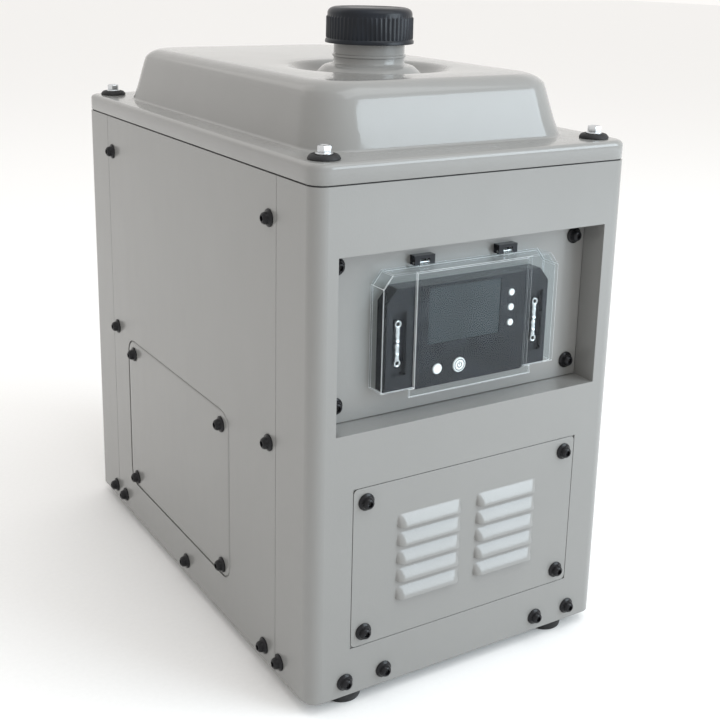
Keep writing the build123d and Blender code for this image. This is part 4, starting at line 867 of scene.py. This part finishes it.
# Wing strips: a zinc plated strap in the pocket of each of the controller's wings, creased along its length
# and held by an eyelet at each end.
STRIP_EYE_R = 3.1
STRIP_INSET = 4.5
STRAP_STEPS = 18
strip_low, strip_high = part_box("mounting_strips")
strip_face = strip_low.y / MM
eye_places = [
    outward(sx * (strip_high.x / MM - STRIP_INSET), strip_face + 0.9, z, (0, -1, 0))
    for sx in (-1, 1)
    for z in (strip_low.z / MM + 6.0, strip_high.z / MM - 6.0)
]
eyes = turned(
    "strip_eyelets",
    [
        (1.5, -1.4, 0), (1.5, 0.1, 0), (1.9, 0.6, 0), (2.5, 0.8, 0), (STRIP_EYE_R, 0.3, 0),
        (STRIP_EYE_R, -1.4, 0),
    ],
    eye_places,
    zinc,
    32,
)
strap_points, strap_faces = [], []
for sx in (-1, 1):
    middle_x = sx * (strip_high.x / MM - STRIP_INSET)
    rings = []
    strap_low, strap_high = strip_low.z / MM + 8.5, strip_high.z / MM - 8.5
    for k in range(STRAP_STEPS + 1):
        z = strap_low + (strap_high - strap_low) * k / STRAP_STEPS
        half = 2.1 + 0.7 * math.sin(k * 1.9) * math.sin(math.pi * k / STRAP_STEPS)
        crest = 1.0 + 0.5 * math.sin(k * 2.6 + 0.5)
        outline = [(-half, 1.6), (-half, 0.4), (-half * 0.5, 0.2 - crest)]
        outline += [(half * 0.5, 0.1 - crest), (half, 0.5), (half, 1.6)]
        rings.append([Vector((middle_x + a, strip_face + 1.2 + b, z)) * MM for a, b in outline])
    strap_faces += joined_rings(rings, len(strap_points))
    strap_points += [p for ring in rings for p in ring]
straps = new_piece("strip_straps", strap_points, strap_faces, zinc, 50)
for piece in (eyes, straps):
    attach(piece, "root")
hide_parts("mounting_strips")


# Clear cover: moulded polycarbonate lid over the controller, with a raised middle, cut upper corners, a finger
# lip and two knuckles that turn on steel pins in the black clips.
def clear_plastic(name, tint, mirror, share_at_edge, share_facing, haze_depth):
    """See-through moulding: a clear body under a gloss skin whose share grows towards grazing angles."""
    finish = Finish(name)
    haze = finish.noise(0.03, 4.0)
    normal = finish.relief(haze, haze_depth)
    skin = finish.add("BsdfPrincipled", None, {
        "Base Color": mirror,
        "Roughness": finish.between(haze, 0.3, 0.7, 0.04, 0.1),
        "Metallic": 1.0,
        "Normal": normal,
    })
    body = finish.add("BsdfTransparent", None, {"Color": tint})
    facing = finish.add("LayerWeight", None, {"Blend": 0.5, "Normal": normal}, out="Facing")
    mask = facing ** 4.0 * (share_at_edge - share_facing) + share_facing
    finish.add_output(finish.add("MixShader", None, {0: mask, 1: body, 2: skin}))
    return finish.material


def painted_glow_edge(name):
    """Rounded edges of the clear moulding, painted pale and given a faint glow: a painted highlight for the
    light they gather.
    """
    finish = Finish(name)
    grain = finish.noise(0.004, 3.0)
    return finish.close(
        # the pale colour and the glow are painted highlight on the edges, not a colour of the plastic
        finish.blend(grain, (0.86, 0.89, 0.90, 1), (0.97, 0.98, 0.99, 1)),
        finish.between(grain, 0.3, 0.7, 0.06, 0.14),
        Alpha=finish.between(grain, 0.3, 0.7, 0.8, 1.0),
        Emission_Color=(0.8, 0.86, 0.9, 1),
        Emission_Strength=0.18,
    )


COVER_EDGE = 1.1
clear_shell = clear_plastic("clear_plastic", (0.95, 0.97, 0.975, 1), (0.97, 0.98, 1.0, 1), 0.4, 0.008, 0.0001)
# the cover's bevelled edges get a pale, faintly glowing finish: painted highlight, not a lamp
painted_highlight_edge = painted_glow_edge("painted_highlight_edge")
dress(clear_shell, "clear_cover")
cover = nodes["clear_cover"]
cover.data.materials.append(painted_highlight_edge)
whole = cover.modifiers.new("one_moulding", "WELD")
whole.merge_threshold = 0.000005
rounding = cover.modifiers.new("rounded_edges", "BEVEL")
rounding.width = COVER_EDGE * MM
rounding.segments = 2
rounding.limit_method = "ANGLE"
rounding.angle_limit = math.radians(25)
# the bevels take the painted highlight finish
rounding.material = 1
steel = metal("steel", (0.52, 0.52, 0.53, 1), 0.3, (1, 5, 1))
dress(steel, "hinge_pins")

# Engine bed: black painted steel rails on four rubber buffers. The muffler's stays, the power module's bracket
# and the rocker cover have the same paint.
bed_paint = powder_coat("bed_paint", (0.022, 0.022, 0.024, 1), 0.4)
dress(black_rubber, "rubber_mounts")
dress(bed_paint, "engine_rails", "muffler_stays", "module_bracket", "rocker_cover")

# Engine: sand-cast aluminium crankcase, barrel and head, a painted rocker cover, a moulded air cleaner on the
# left and a heat-tinted steel exhaust at the back.
cast_aluminium = metal("cast_aluminium", (0.56, 0.56, 0.57, 1), 0.5, (1, 1, 1), 0.0016, 0.8)
exhaust_steel = metal("exhaust_steel", (0.36, 0.31, 0.27, 1), 0.42, (1, 4, 1), 0.002, 0.6)
dress(cast_aluminium, "crankcase", "crankcase_cover", "cylinder_barrel", "cylinder_head", "carburettor")
dress(cast_aluminium, "power_module")
dress(steel, "spark_plug", "throttle_lever", "crankshaft", "magnet_rotor")
dress(black_rubber, "plug_lead", "fuel_hose")
dress(black_plastic, "ignition_coil", "air_cleaner", "cooling_fan", "fan_shroud", "output_terminals")
dress(exhaust_steel, "exhaust_pipe", "muffler")

# Generator windings: enamelled copper wire laid turn by turn on the stator's teeth, so that its surface is
# finely ringed.
copper_finish = Finish("copper")
strands = copper_finish.add("TexWave", {"wave_type": "RINGS", "rings_direction": "Y"}, {
    "Vector": copper_finish.place, "Scale": 260.0, "Distortion": 0.6, "Detail": 1.0,
})
copper = copper_finish.close(
    copper_finish.blend(strands, (0.30, 0.10, 0.035, 1), (0.62, 0.27, 0.11, 1)),
    0.32,
    copper_finish.relief(strands, 0.0002),
    Metallic=0.9,
)
dress(copper, "stator")
